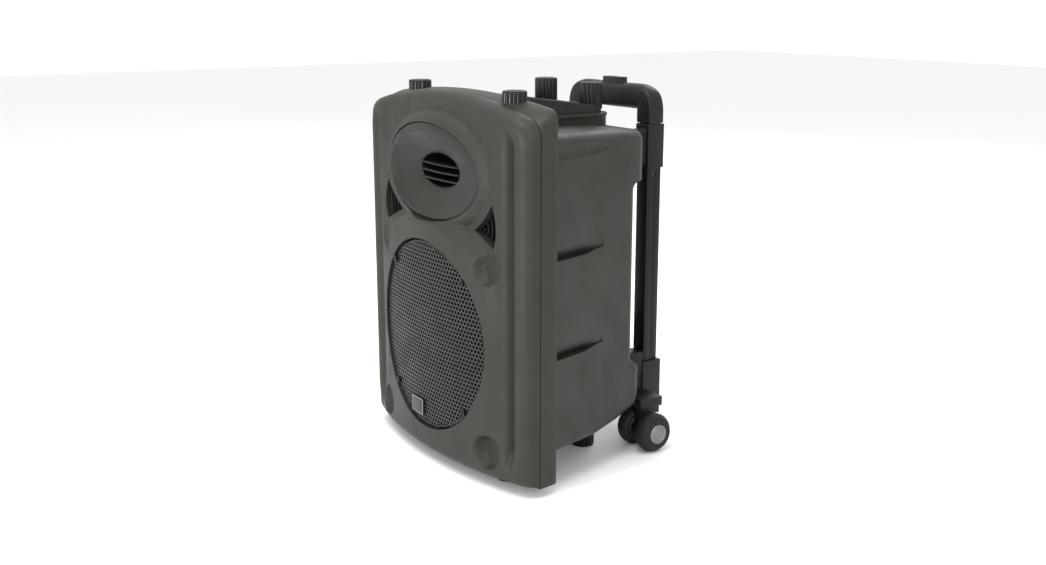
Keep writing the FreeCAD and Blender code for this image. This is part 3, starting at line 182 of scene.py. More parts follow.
SHELL = (0.0222, 0.0226, 0.0182)
BLACK = (0.0062, 0.0062, 0.0060)
PAINT = {
    "cabinet": moulded("cabinet_moulding", SHELL, 0.5, 1700.0, 0.00012, 1.25),
    # The horn's colour is the shell colour darkened: painted shade for the recessed horn, not a different
    # plastic.
    "horn": moulded("horn_moulding_painted_shade", shade(SHELL, 0.7), 0.46, 1900.0, 0.00008, 1.3),
    "black": moulded("black_moulding", BLACK, 0.5, 1500.0, 0.0001, 1.9),
    "grip": moulded("soft_grip", (0.008, 0.008, 0.0078), 0.46, 1300.0, 0.00009, 1.7),
    "tray": moulded("tray_moulding", (0.010, 0.010, 0.0095), 0.47, 1400.0, 0.0001, 1.6),
    "foot": moulded("foot_rubber", (0.0045, 0.0045, 0.0044), 0.34, 1200.0, 0.00008, 1.8),
    "tyre": moulded("tyre_rubber", (0.011, 0.011, 0.011), 0.62, 900.0, 0.00014, 1.5),
    "hub": moulded("hub_moulding", (0.014, 0.014, 0.014), 0.45, 1500.0, 0.00008, 1.7),
    "tube": brushed("black_tube", (0.0065, 0.0065, 0.0063), 0.4, (1.0, 1.0, 0.02), 0.55),
    "inner": brushed("anodised_tube", (0.06, 0.06, 0.062), 0.3, (1.0, 1.0, 0.02), 0.9),
    "grille": moulded("grille_paint", (0.034, 0.034, 0.031), 0.4, 2400.0, 0.00004, 1.6, 0.35),
    # Near-black, nearly unreflective throat: painted shade for the deep recess behind the horn.
    "throat": moulded("throat_painted_shade", (0.0015, 0.0015, 0.0015), 0.9, 1500.0, 0.0001, 1.2, 0.0, 0.1),
    "badge": brushed("badge_face", (0.03, 0.03, 0.03), 0.35, (0.03, 1.0, 1.0), 0.5),
    "border": brushed("badge_border", (0.4, 0.4, 0.4), 0.35, (1.0, 1.0, 0.05), 0.9),
    "silver": brushed("hub_cap_metal", (0.2, 0.2, 0.2), 0.34, (1.0, 0.2, 1.0)),
    "steel": brushed("plated_steel", (0.55, 0.55, 0.55), 0.3, (0.05, 1.0, 1.0)),
    "screw": moulded("black_screw", (0.008, 0.008, 0.008), 0.33, 1800.0, 0.00003, 2.0, 0.7),
    "driver": moulded("driver_paint", (0.006, 0.006, 0.006), 0.6, 1000.0, 0.0001, 1.8, 0.3),
    "cone": moulded("pulp_cone", (0.002, 0.002, 0.002), 0.9, 700.0, 0.0002, 1.3, 0.0, 0.05),
    # Near-black sheet behind the grille: painted shade seen through the holes.
    "cloth": moulded("painted_hole_shade", (0.0018, 0.0018, 0.0017), 0.95, 1300.0, 0.0001, 1.1, 0.0, 0.05),
    "seal": moulded("foam_seal", (0.002, 0.002, 0.002), 0.95, 900.0, 0.0002, 1.1, 0.0, 0.1),
    "panel": moulded("panel_paint", (0.022, 0.022, 0.022), 0.48, 1500.0, 0.00007, 1.9, 0.2),
    "gloss": moulded("gloss_insert", (0.012, 0.012, 0.012), 0.18, 900.0, 0.00001, 1.6),
    "knob": moulded("knob_moulding", (0.02, 0.02, 0.02), 0.4, 1400.0, 0.00006, 1.9),
    "copper": brushed("copper_wire", (0.6, 0.28, 0.15), 0.35, (1.0, 0.02, 1.0)),
    "board": moulded("solder_mask", (0.01, 0.09, 0.035), 0.35, 800.0, 0.00002, 1.5),
    "mark": moulded("white_print", (0.6, 0.6, 0.58), 0.6, 900.0, 0.00001, 1.1),
}


def screen_finish():
    """Dark display window whose faint glow is painted into its bluish colour; it gives off no light."""
    finish = Finish("display_window")
    haze = finish.noise(40.0, 3.0)
    # Two bluish tones mixed by noise: painted glow.
    finish.set(base_color=finish.mix(haze, (0.006, 0.012, 0.02, 1.0), (0.01, 0.022, 0.034, 1.0)))
    finish.set(roughness=finish.step(haze, 0.2, 0.8, 0.06, 0.14))
    finish.set(coat_weight=0.6)
    return finish.material


PAINT["screen"] = screen_finish()


# ------------------------------------------------------------ mesh tools


def to_metres(point):
    """A point in millimetres as a vector in metres."""
    return Vector(point) * MM


def piece(name, points, faces, paint, body, *replaced, sharp=35.0):
    """A mesh piece from points in millimetres, riding on a body."""
    mesh = bpy.data.meshes.new(name)
    mesh.from_pydata([to_metres(point) for point in points], [], faces)
    mesh.validate()
    obj = bpy.data.objects.new(name, mesh)
    bpy.context.collection.objects.link(obj)
    return dress(obj, paint, body, *replaced, sharp=sharp)


def dress(obj, paint, body, *replaced, sharp=35.0):
    """Outward faces, smooth shading, material, body and replaced nodes."""
    tidy = bmesh.new()
    tidy.from_mesh(obj.data)
    bmesh.ops.remove_doubles(tidy, verts=tidy.verts, dist=1e-6)
    bmesh.ops.recalc_face_normals(tidy, faces=tidy.faces)
    tidy.to_mesh(obj.data)
    tidy.free()
    smooth(obj, sharp)
    obj.data.materials.clear()
    obj.data.materials.append(PAINT[paint])
    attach(obj, body)
    if replaced:
        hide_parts(*replaced)
    return obj


def smooth(obj, angle=35.0):
    """Smooth shading, with sharp edges above an angle in degrees."""
    obj.data.polygons.foreach_set("use_smooth", [True] * len(obj.data.polygons))
    obj.data.set_sharp_from_angle(angle=math.radians(angle))


def apply(obj, kind, **settings):
    """Add a modifier and make its result the mesh."""
    modifier = obj.modifiers.new(kind.lower(), kind)
    for key, setting in settings.items():
        setattr(modifier, key, setting)
    evaluated = obj.evaluated_get(bpy.context.evaluated_depsgraph_get())
    mesh = bpy.data.meshes.new_from_object(evaluated)
    obj.modifiers.clear()
    old = obj.data
    obj.data = mesh
    bpy.data.meshes.remove(old)


def carve(obj, cutters, operation="DIFFERENCE"):
    """Cut or join with other meshes, which are then removed."""
    for cutter in cutters:
        apply(obj, "BOOLEAN", object=cutter, operation=operation, solver="EXACT")
        bpy.data.objects.remove(cutter)


def quads(rows, count, closed):
    """Faces between rows of points that each hold count points."""
    faces = []
    for row in range(rows - 1):
        for column in range(count if closed else count - 1):
            following = (column + 1) % count
            faces.append((row * count + column, row * count + following,
                          (row + 1) * count + following, (row + 1) * count + column))
    return faces


def stack(sections, capped=True):
    """Points and faces through closed sections with equal point counts."""
    count = len(sections[0])
    points = [point for section in sections for point in section]
    faces = quads(len(sections), count, True)
    if capped:
        faces.append(tuple(range(count)))
        faces.append(tuple(reversed(range(len(points) - count, len(points)))))
    return points, faces


def loose(name, points, faces):
    """An undressed mesh object, used as a cutter or to be joined."""
    mesh = bpy.data.meshes.new(name)
    mesh.from_pydata([to_metres(point) for point in points], [], faces)
    obj = bpy.data.objects.new(name, mesh)
    bpy.context.collection.objects.link(obj)
    tidy = bmesh.new()
    tidy.from_mesh(mesh)
    bmesh.ops.recalc_face_normals(tidy, faces=tidy.faces)
    tidy.to_mesh(mesh)
    tidy.free()
    return obj


def turn(axis, centre, profile, count=64):
    """Sections of a turned shape; profile holds (radius, along) pairs."""
    x, y, z = centre
    sections = []
    for radius, along in profile:
        section = []
        for index in range(count):
            angle = 2 * math.pi * index / count
            across = radius * math.cos(angle)
            up = radius * math.sin(angle)
            spot = {"X": (x + along, y + across, z + up),
                    "Y": (x + across, y + along, z + up),
                    "Z": (x + across, y + up, z + along)}[axis]
            section.append(spot)
        sections.append(section)
    return sections


def rounded_box(half, low, high, radius, count):
    """Outline points (across, along) of an upright box with round corners."""
    points = []
    corners = ((half - radius, high - radius, 0.0), (-half + radius, high - radius, 90.0),
               (-half + radius, low + radius, 180.0), (half - radius, low + radius, 270.0))
    for across, along, start in corners:
        for step in range(count + 1):
            angle = math.radians(start + 90.0 * step / count)
            points.append((across + radius * math.cos(angle), along + radius * math.sin(angle)))
    return points


def soften(node, paint, width=0.8, segments=2, name=None, sharp=30.0):
    """A bevelled copy of a CAD piece, which it stands for."""
    source = frame["nodes"][node]
    body = node_body(node)
    mesh = source.data.copy()
    obj = bpy.data.objects.new(name or f"{node}_finished", mesh)
    bpy.context.collection.objects.link(obj)
    tidy = bmesh.new()
    tidy.from_mesh(mesh)
    bmesh.ops.remove_doubles(tidy, verts=tidy.verts, dist=2e-6)
    bmesh.ops.dissolve_limit(tidy, angle_limit=math.radians(1.0), verts=tidy.verts, edges=tidy.edges)
    tidy.to_mesh(mesh)
    tidy.free()
    apply(obj, "BEVEL", width=width * MM, segments=segments, limit_method="ANGLE",
          angle_limit=math.radians(sharp), use_clamp_overlap=True, harden_normals=False)
    apply(obj, "TRIANGULATE", min_vertices=5)
    return dress(obj, paint, body, node)


def node_body(node):
    """Name of the body that holds a node."""
    for body, members in frame["record"]["behaviour"]["bodies"].items():
        if node in members:
            return body
    raise KeyError(node)


def ease(value, low, high):
    """Smooth step from zero to one."""
    share = min(1.0, max(0.0, (value - low) / (high - low)))
    return share * share * (3 - 2 * share)


# ----------------------------------------------------------- front shell


HALF = 212.0
FOOT = 14.0
PEAK = 533.0
ARCH = 780.0
CORNER = 28.0
HORN = (0.0, 423.0)
HORN_SIZE = (121.0, 67.5)
HOOD_SIZE = (138.0, 85.5)
HOOD = RIM_REAR - 77.5
LEVEL = RIM_REAR - 60.5
WOOFER = (0.0, 190.0)
WOOFER_OPENING = 116.0
GRILLE_RADIUS = 138.0
COLUMN_MIDDLE = 193.0
COLUMN_RADIUS = 19.0
COLUMN_AXIS = RIM_REAR - 37.0
COLUMN_EDGE = 174.0
CLEAR = FRONT - 40.0
BADGE = (-24.0, 78.0)
DIMPLES = [(side * 141.0, z) for side in (-1, 1) for z in (52.0, 309.0, 473.0)]
PORT_MIDDLE = (126.0, 362.0)
PORTS = ((142.0, 394.0), (99.0, 354.0), (145.0, 334.0), (151.0, 362.0))


def arch_top(x, half=HALF, peak=PEAK, arch=ARCH, corner=CORNER):
    """Height of the outline's top at a distance from the middle."""
    x = min(abs(x), half)
    corner_x = half - corner
    centre_z = peak - arch
    corner_z = centre_z + math.sqrt((arch - corner) ** 2 - corner_x ** 2)
    meet = arch * corner_x / (arch - corner)
    if x <= meet:
        return centre_z + math.sqrt(arch ** 2 - x ** 2)
    return corner_z + math.sqrt(max(0.0, corner ** 2 - (x - corner_x) ** 2))


def bow_depth(x, front=FRONT, radius=BOW):
    return front + x * x / (2 * radius)


def melt(first, second, width):
    """The nearer of two depths, with a soft blend between them."""
    share = min(1.0, max(0.0, 0.5 + 0.5 * (second - first) / width))
    return second + (first - second) * share - width * share * (1 - share)


def proud_share(x, z):
    """One on the bulge round the woofer, zero on the lower level beside and above it."""
    reach = abs(x)
    share = 1.0 - ease(reach, 138.0, 168.0) * ease(z, 30.0, 95.0)
    share *= 1.0 - ease(math.hypot(x, max(0.0, z - WOOFER[1])), 164.0, 194.0)
    return share


def side_depth(x, level):
    """Depth across the width, with a half-round column at the side."""
    reach = abs(x)
    roll_start = COLUMN_EDGE - 12.0
    roll = min(max(reach - roll_start, 0.0), 11.9)
    main = level + 12.0 - math.sqrt(12.0 ** 2 - roll ** 2)
    if reach > COLUMN_EDGE - 0.1:
        main += (reach - COLUMN_EDGE + 0.1) * 2.0
    offset = min(abs(reach - COLUMN_MIDDLE), COLUMN_RADIUS - 0.01)
    column = COLUMN_AXIS - math.sqrt(COLUMN_RADIUS ** 2 - offset ** 2)
    if reach < COLUMN_EDGE:
        column += (COLUMN_EDGE - reach) * 2.0
    return melt(main, column, 9.0)


def shoulder_depth(x, level):
    """Depth across the width above the columns' ends."""
    reach = abs(x)
    share = max(0.0, (reach - 168.0) / (HALF - 168.0))
    end = SEAM - 2.0
    return level + (end - level) * (1 - math.sqrt(max(0.0, 1 - share ** 2.3)))


def face_depth(x, z):
    """Depth of the front surface, before its openings are cut."""
    share = proud_share(x, z)
    level = LEVEL + (bow_depth(x) - LEVEL) * share
    blend = ease(z, 470.0, 500.0) + 1.0 - ease(z, 26.0, 72.0)
    depth = side_depth(x, level) * (1 - blend) + shoulder_depth(x, level) * blend
    gap_top = arch_top(x) - z
    gap_low = z - FOOT
    for gap, radius in ((gap_top, 18.0), (gap_low, 17.0)):
        if gap < radius:
            drop = radius - math.sqrt(max(0.0, radius ** 2 - (radius - gap) ** 2))
            depth += drop * min(1.0, (SEAM - depth) / radius)
    depth = melt(min(depth, SEAM - 0.8), hood_depth(x, z), 2.5)
    return -melt(-depth, -dimple_depth(x, z), 3.0)


def dimple_depth(x, z):
    """Depth of the thumb-sized recess over a screw, far in front of the face elsewhere."""
    for centre_x, centre_z in DIMPLES:
        distance = math.hypot(x - centre_x, z - centre_z)
        if distance < 34.0:
            return LEVEL + 2.0 - 3.0 * (distance / 25.0) ** 2 - 0.3 * max(0.0, distance - 18.0) ** 2
    return FRONT - 50.0


def hood_depth(x, z):
    """Depth of the rounded hood that stands proud round the horn."""
    reach = math.hypot(x / HOOD_SIZE[0], (z - HORN[1]) / HOOD_SIZE[1])
    if reach >= 1.0:
        return SEAM + 20.0
    crest = HOOD + x * x / 1800.0
    fall = max(0.0, (reach - 0.78) / 0.22)
    return crest + (LEVEL + 3.0 - crest) * (1 - (1 - fall ** 2.0) ** 0.62)


def front_columns():
    """Distances from the middle, closer together where the shape turns."""
    steps = []
    x = 0.0
    while x < HALF:
        steps.append(x)
        x += 3.0 if x < 150 else 1.5
        if x > 196:
            x -= 0.75
    steps.append(HALF)
    return [-step for step in reversed(steps[1:])] + steps


def make_front():
    """Bowed front moulding as a solid, cut for the horn, vents and woofer."""
    columns = front_columns()
    rows = 190
    points = []
    for row in range(rows + 1):
        share = row / rows
        share = share - 0.018 * math.sin(2 * math.pi * share)
        for x in columns:
            z = FOOT + (arch_top(x) - FOOT) * share
            points.append((x, face_depth(x, z), z))
    count = len(columns)
    faces = quads(rows + 1, count, False)
    border = list(range(count))
    border += [row * count + count - 1 for row in range(1, rows + 1)]
    border += [rows * count + column for column in range(count - 2, -1, -1)]
    border += [row * count for row in range(rows - 1, 0, -1)]
    back = SEAM - 0.6
    rear = {}
    for index in border:
        x, _, z = points[index]
        rear[index] = len(points)
        points.append((x, back, z))
    for here, there in zip(border, border[1:] + border[:1]):
        faces.append((here, there, rear[there], rear[here]))
    faces.append(tuple(rear[index] for index in reversed(border)))
    front = loose("front_moulding", points, faces)
    carve(front, front_cutters())
    return dress(front, "cabinet", BASE, "front_baffle", sharp=40.0)


def round_cutter(name, radius, low, high, centre, count=128):
    """A disc along Y, used to cut a round hole."""
    profile = [(radius, low), (radius, high)]
    return loose(name, *stack(turn("Y", (centre[0], 0.0, centre[1]), profile, count)))


def front_cutters():
    """Everything that is taken out of the front moulding."""
    cutters = [round_cutter("grille_pocket", GRILLE_RADIUS, CLEAR, RIM_REAR - 58.0, WOOFER, 180),
               round_cutter("woofer_way", WOOFER_OPENING, FRONT, RIM_REAR, WOOFER),
               horn_cutter()]
    for side in (-1, 1):
        cutters.append(loose("port_way", *stack(port_sections(side, 0.0, (CLEAR, RIM_REAR)))))
    return cutters


def horn_cutter(count=160):
    """Elliptical hole, a hair wider than the horn."""
    sections = []
    for along in (CLEAR, RIM_REAR):
        section = []
        for index in range(count):
            angle = 2 * math.pi * index / count
            x = 1.006 * HORN_SIZE[0] * math.cos(angle)
            section.append((x, along, HORN[1] + 1.008 * HORN_SIZE[1] * math.sin(angle)))
        sections.append(section)
    return loose("horn_way", *stack(sections))


def port_sections(side, inset, depths):
    """Outline of the vent, a three-cornered shape with a bowed outer side."""
    middle = Vector(PORT_MIDDLE)
    corners = []
    for x, z in PORTS:
        away = Vector((x, z)) - middle
        corners.append(middle + away * (1 - inset / away.length))
    top, inner, low, outer = corners
    sides = ((top, (top + inner) / 2 + Vector((5.0, -3.0)), inner, 8),
             (inner, (inner + low) / 2 + Vector((1.0, 1.0)), low, 6),
             (low, outer * 2 - (low + top) / 2, top, 12))
    curve = []
    for start, bend, end, steps in sides:
        for step in range(steps):
            share = step / steps
            curve.append(start * (1 - share) ** 2 + bend * 2 * share * (1 - share) + end * share ** 2)
    return [[(side * spot.x, depth, spot.y) for spot in curve] for depth in depths]


def make_vents():
    """Vent inserts: a thin recessed frame with curved upright slats."""
    for side, label in ((-1, "left"), (1, "right")):
        sections = []
        for inset, depth in ((0.3, 8.0), (0.3, 16.0), (2.6, 16.0), (2.6, 8.6), (2.0, 8.0)):
            sections += port_sections(side, inset, (LEVEL + depth,))
        vent = loose(f"vent_{label}", *stack(sections + [sections[0]], False))
        join(vent, [slat(side, share) for share in (0.2, 0.4, 0.6, 0.8)])
        replaced = ("port_louvres",) if side > 0 else ()
        dress(vent, "black", BASE, *replaced)


def slat(side, share):
    """Curved upright slat between the vent's upper and lower sides."""
    top, inner, low = (Vector(spot) for spot in PORTS[:3])
    start = inner + (top - inner) * share + Vector((1.5, -4.0))
    end = inner + (low - inner) * share + Vector((1.0, 3.0))
    bow_out = Vector((5.0 * share, 0.0))
    sections = []
    for step in range(9):
        along = step / 8
        spot = start + (end - start) * along + bow_out * 4 * along * (1 - along)
        middle = (side * spot.x, LEVEL + 12.0, spot.y)
        sections.append(flat_section(middle, (side * 0.9, 4.0)))
    return bevelled(loose("slat", *stack(sections)))


def flat_section(middle, half):
    """Four corners of a level rectangle."""
    x, y, z = middle
    across, deep = half
    return [(x - across, y - deep, z), (x + across, y - deep, z),
            (x + across, y + deep, z), (x - across, y + deep, z)]


def bevelled(obj, width=0.35, segments=2, angle=40.0):
    """Bevels on the sharp edges of a mesh."""
    apply(obj, "BEVEL", width=width * MM, segments=segments, limit_method="ANGLE",
          angle_limit=math.radians(angle))
    return obj


def bar_mesh(name, centre, sides, radius, segments=2):
    """A block with bevelled edges."""
    half = [side / 2 for side in sides]
    points = [(centre[0] + sx * half[0], centre[1] + sy * half[1], centre[2] + sz * half[2])
              for sx in (-1, 1) for sy in (-1, 1) for sz in (-1, 1)]
    faces = [(0, 1, 3, 2), (4, 6, 7, 5), (0, 4, 5, 1), (2, 3, 7, 6), (0, 2, 6, 4), (1, 5, 7, 3)]
    obj = loose(name, points, faces)
    return bevelled(obj, radius, segments, 30.0) if radius else obj


def join(target, others):
    """Add other meshes to a piece as they are."""
    whole = bmesh.new()
    whole.from_mesh(target.data)
    for other in others:
        whole.from_mesh(other.data)
        bpy.data.objects.remove(other)
    whole.to_mesh(target.data)
    whole.free()


# ------------------------------------------------------------------ horn


def make_horn():
    """Elliptical wave guide: a rounded lip, a shallow dish in the shell colour darkened as painted shade,
    and a throat painted near-black as painted shade.
    """
    dish = [
        (1.0, 1.0, 0.0, 24.0, 1.0), (1.0, 1.0, 0.0, 2.4, 1.0), (0.996, 0.993, 0.0, 1.2, 1.0),
        (0.988, 0.978, 0.0, 0.6, 1.0), (0.975, 0.93, -2.5, 0.2, 1.0), (0.962, 0.875, -4.2, 0.0, 1.0),
        (0.953, 0.86, -4.5, 0.3, 1.0), (0.944, 0.845, -4.6, 1.2, 1.0), (0.9, 0.79, -4.4, 4.8, 0.96),
        (0.82, 0.7, -3.8, 9.0, 0.88), (0.72, 0.6, -3.0, 12.6, 0.75), (0.62, 0.51, -2.0, 15.6, 0.6),
        (0.53, 0.43, -1.2, 18.2, 0.42), (0.46, 0.375, -0.6, 20.4, 0.28), (0.425, 0.35, -0.2, 22.4, 0.16),
    ]
    throat = [
        (0.425, 0.35, -0.2, 22.3, 0.16), (0.405, 0.335, 0.0, 26.0, 0.1), (0.37, 0.32, 0.0, 38.0, 0.0),
        (0.28, 0.32, 0.0, 56.0, 0.0), (0.19, 0.33, 0.0, 76.0, 0.0),
    ]
    horn = loose("horn_flare", *stack([horn_section(*row) for row in dish], False))
    join(horn, [vane(z) for z in (410.0, 420.5, 431.0)])
    # The flare and its vanes carry the shell colour darkened as painted shade.
    dress(horn, "horn", BASE, "horn_waveguide", sharp=50.0)
    # The throat is painted near-black as shade.
    well = loose("horn_throat", *stack([horn_section(*row) for row in throat], False))
    dress(well, "throat", BASE, sharp=50.0)


def horn_section(wide, tall, lift, inward, bowed):
    """Ellipse across the horn at a depth behind its lip."""
    section = []
    for index in range(128):
        angle = 2 * math.pi * index / 128
        x = HORN_SIZE[0] * wide * math.cos(angle)
        z = HORN[1] + lift + HORN_SIZE[1] * tall * math.sin(angle)
        section.append((x, HOOD + 0.8 + inward + bowed * x * x / 1800.0, z))
    return section


def vane(z):
    """Thin bowed bar across the mouth of the throat."""
    reach, half, deep = 50.0, 0.9, 13.0
    sections = []
    for index in range(21):
        x = -reach + 5.0 * index
        front = RIM_REAR - 61.0 + 5.0 * (x / reach) ** 2
        sections.append([(x, front, z - half), (x, front, z + half),
                         (x, front + deep, z + half), (x, front + deep, z - half)])
    return bevelled(loose("vane", *stack(sections)))


# ---------------------------------------------------------------- grille


def make_grille():
    """Perforated sheet with staggered round holes and a turned-back edge."""
    pitch = 6.8
    hole = 2.45
    thickness = 0.4
    limit = GRILLE_RADIUS - 4.5
    surface = FRONT + 4.0
    whole = bmesh.new()
    row_step = pitch * math.sqrt(3) / 2
    rows = int(limit / row_step) + 1
    corners = {}

    def corner(x, z):
        key = (round(x * 50), round(z * 50))
        if key not in corners:
            spot = (x, bow_depth(x, surface), WOOFER[1] + z)
            corners[key] = whole.verts.new(to_metres(spot))
        return corners[key]

    for row in range(-rows, rows + 1):
        shift = pitch / 2 if row % 2 else 0.0
        columns = int(limit / pitch) + 2
        for column in range(-columns, columns + 1):
            x = column * pitch + shift
            z = row * row_step
            if math.hypot(x, z) > limit:
                continue
            grille_cell(whole, corner, x, z, pitch, hole, surface)
    mesh = bpy.data.meshes.new("grille_sheet")
    whole.to_mesh(mesh)
    whole.free()
    sheet = bpy.data.objects.new("grille_sheet", mesh)
    bpy.context.collection.objects.link(sheet)
    join(sheet, [grille_edge(surface, limit)])
    apply(sheet, "SOLIDIFY", thickness=thickness * MM, offset=0.0)
    dress(sheet, "grille", BASE, "woofer_grille", sharp=40.0)
    # A black sheet behind the grille paints the shade seen through its holes.
    make_hole_shade_backing(surface + 3.2, limit)


def make_hole_shade_backing(surface, limit, thickness=0.5, count=72):
    """Thin black sheet behind the grille: painted shade for the dark seen through its holes."""
    reaches = (0.2, 0.45, 0.7, 0.9, 1.0)
    layers = [(reach, 0.0) for reach in reaches] + [(reach, thickness) for reach in reversed(reaches)]
    sections = []
    for reach, depth in layers:
        ring = []
        for index in range(count):
            angle = 2 * math.pi * index / count
            x = limit * reach * math.cos(angle)
            z = WOOFER[1] + limit * reach * math.sin(angle)
            ring.append((x, bow_depth(x, surface + depth), z))
        sections.append(ring)
    backing_piece = piece("grille_shade_backing", *stack(sections), "cloth", BASE)


def grille_cell(whole, corner, x, z, pitch, hole, surface):
    """One six-sided cell of sheet with a round hole."""
    reach = pitch / math.sqrt(3)
    outer = []
    inner = []
    for index in range(6):
        angle = math.pi / 6 + math.pi / 3 * index
        outer.append(corner(x + reach * math.cos(angle), z + reach * math.sin(angle)))
    for index in range(12):
        angle = math.pi / 6 + math.pi / 6 * index
        across = x + hole * math.cos(angle)
        spot = (across, bow_depth(across, surface), WOOFER[1] + z + hole * math.sin(angle))
        inner.append(whole.verts.new(to_metres(spot)))
    for index in range(6):
        after = (index + 1) % 6
        first, second, third = inner[2 * index], inner[2 * index + 1], inner[(2 * index + 2) % 12]
        whole.faces.new((outer[index], first, second))
        whole.faces.new((outer[index], second, outer[after]))
        whole.faces.new((outer[after], second, third))


def grille_edge(surface, limit):
    """Plain band round the holes, turned back at its rim."""
    rim = GRILLE_RADIUS - 2.6
    sections = []
    for radius, back in ((limit - 1.0, 0.3), (rim - 2.5, 0.1), (rim - 0.8, 0.6), (rim, 2.2), (rim, 10.0)):
        section = []
        for index in range(180):
            angle = 2 * math.pi * index / 180
            x = radius * math.cos(angle)
            section.append((x, bow_depth(x, surface) + back, WOOFER[1] + radius * math.sin(angle)))
        sections.append(section)
    return loose("grille_edge", *stack(sections, False))


def make_badge():
    """Small blank plate with a raised border."""
    centre_x, centre_z = BADGE
    wide, tall, bar = 32.0, 23.0, 0.8
    across = (wide - bar) / 2
    up = (tall - bar) / 2
    plate = bar_mesh("badge", (0.0, 0.0, 0.0), (wide + 1.0, 2.0, tall + 1.0), 0.7, 3)
    bars = []
    for x, z, sides in ((0.0, up, (wide, 0.7, bar)), (0.0, -up, (wide, 0.7, bar)),
                        (across, 0.0, (bar, 0.7, tall)), (-across, 0.0, (bar, 0.7, tall))):
        bars.append(bar_mesh("border", (x, -1.1, z), sides, 0.25))
    border = bars[0]
    join(border, bars[1:])
    border.name = "badge_border"
    lean = Matrix.Rotation(math.atan(centre_x / BOW), 4, "Z")
    seat = Matrix.Translation(to_metres((centre_x, bow_depth(centre_x) + 1.9, centre_z)))
    for obj in (plate, border):
        obj.data.transform(seat @ lean)
    dress(plate, "badge", BASE, "badge_plate")
    dress(border, "border", BASE)


# ------------------------------------------------------------ rear shell


RIM = dict(half=207.0, peak=533.0, arch=1500.0, corner=15.0)
BODY_LOW = ((0, 52.0), (90, 52.0), (142, 61.0), (176, 70.0), (186, 77.0), (192, 87.0), (196, 104.0))
BODY_HIGH = ((0, 486.0), (150, 480.0), (180, 478.0), (190, 475.0), (194, 470.0), (196, 462.0))
TUCK_START = 176.0
TUCK = 20.0


def outline(half, foot, peak, arch, corner, depth, count=60):
    """Closed front outline: foot, straight sides, rounded corners, arched top."""
    foot_steps, side_steps, corner_steps = 12, 30, 12
    corner_x = half - corner
    centre_z = peak - arch
    corner_z = centre_z + math.sqrt((arch - corner) ** 2 - corner_x ** 2)
    lean = math.atan2(corner_z - centre_z, corner_x)
    side = [foot + (corner_z - foot) * index / side_steps for index in range(1, side_steps)]
    bends = []
    for index in range(corner_steps):
        angle = lean * index / corner_steps
        bends.append((corner_x + corner * math.cos(angle), corner_z + corner * math.sin(angle)))
    points = [(-half + 2 * half * index / foot_steps, depth, foot) for index in range(foot_steps + 1)]
    points += [(half, depth, z) for z in side]
    points += [(x, depth, z) for x, z in bends]
    for index in range(count + 1):
        angle = lean + (math.pi - 2 * lean) * index / count
        points.append((arch * math.cos(angle), depth, centre_z + arch * math.sin(angle)))
    points += [(-x, depth, z) for x, z in reversed(bends)]
    points += [(-half, depth, z) for z in reversed(side)]
    return points


def rim_section(share, inset, depth):
    """Outline between the joint (share 0) and the rim's rear face (share 1)."""

    def between(first, second):
        return first + (second - first) * share

    half = between(HALF, RIM["half"]) - inset
    corner = max(3.0, between(CORNER, RIM["corner"]) - inset / 2)
    arch = between(ARCH, RIM["arch"])
    return outline(half, FOOT + inset, PEAK - inset, arch, corner, depth)


def body_section(depth, inset=0.0):
    """Cross-section of the tapering body at a distance behind the rim."""
    low = ramp(depth, BODY_LOW) + inset / 2
    high = ramp(depth, BODY_HIGH) - inset / 2
    half = side_half(depth) - inset
    share = max(0.0, depth - TUCK_START) / TUCK
    half -= TUCK * (1 - math.sqrt(max(0.0, 1 - share ** 2)))
    return [(x, RIM_REAR + depth, z) for x, z in rounded_box(half, low, high, 15.0, 8)]


def ramp(position, knots):
    """Straight lines through (position, height) pairs."""
    for (start, low), (end, high) in zip(knots, knots[1:]):
        if position <= end:
            return low + (high - low) * (position - start) / (end - start)
    return knots[-1][1]


def make_rear():
    """Rim, body and collar of the rear moulding, with scoops and a recess."""
    edge = ((0.0, 0.0, -30.4), (0.35, 0.0, -20.0), (0.7, 0.0, -9.0), (0.9, 0.0, -3.0),
            (0.97, 0.5, -1.2), (1.0, 1.6, -0.3), (1.0, 3.2, 0.0))
    sections = [rim_section(share, inset, RIM_REAR + depth) for share, inset, depth in edge]
    rim = loose("rear_moulding", *stack(sections))
    depths = (-6.0, 1.0, 40.0, 90.0, 120.0, 142.0, 160.0, TUCK_START,
              180.0, 184.0, 188.0, 191.0, 193.5, 195.2, 196.0)
    body = loose("body_form", *stack([body_section(depth) for depth in depths]))
    crest = ((1.4, 440.0), (1.4, 490.0), (0.3, 492.6), (0.0, 494.6), (0.6, 495.7), (2.0, 496.0))
    collar = loose("collar_form", *stack(oval_sections(81.0, -8.0, 193.0, 34.0, crest)))
    carve(rim, [body, collar], "UNION")
    carve(rim, rear_cutters())
    dress(rim, "cabinet", BASE, "rear_cabinet", sharp=38.0)


def rear_cutters():
    """Scoops, the trolley's recess and the hollow inside."""
    cutters = []
    for side in (-1, 1):
        for z in (332.0, 196.0):
            cutters.append(scoop(side, z, 11.5, 0.5, 100.0, 7.5))
        cutters.append(scoop(side, 466.0, 13.0, 0.5, 120.0, 4.5, False))
    cutters.append(recess_cutter())
    rim_hollow = [outline(192.0, 20.0, 507.0, 1500.0, 12.0, RIM_REAR + depth) for depth in (-40.0, -4.5)]
    cutters.append(loose("rim_inside", *stack(rim_hollow)))
    body_hollow = [body_section(depth, 22.0) for depth in (-8.0, 90.0, 150.0)]
    cutters.append(loose("body_inside", *stack(body_hollow)))
    return cutters


def oval_sections(half, front, back, corner, levels, count=12):
    """Rounded plan outline at each (inset, height)."""
    sections = []
    for inset, height in levels:
        radius = max(1.0, corner - inset)
        plan = rounded_box(half - inset, front + inset, back - inset, radius, count)
        sections.append([(x, RIM_REAR + y, height) for x, y in plan])
    return sections


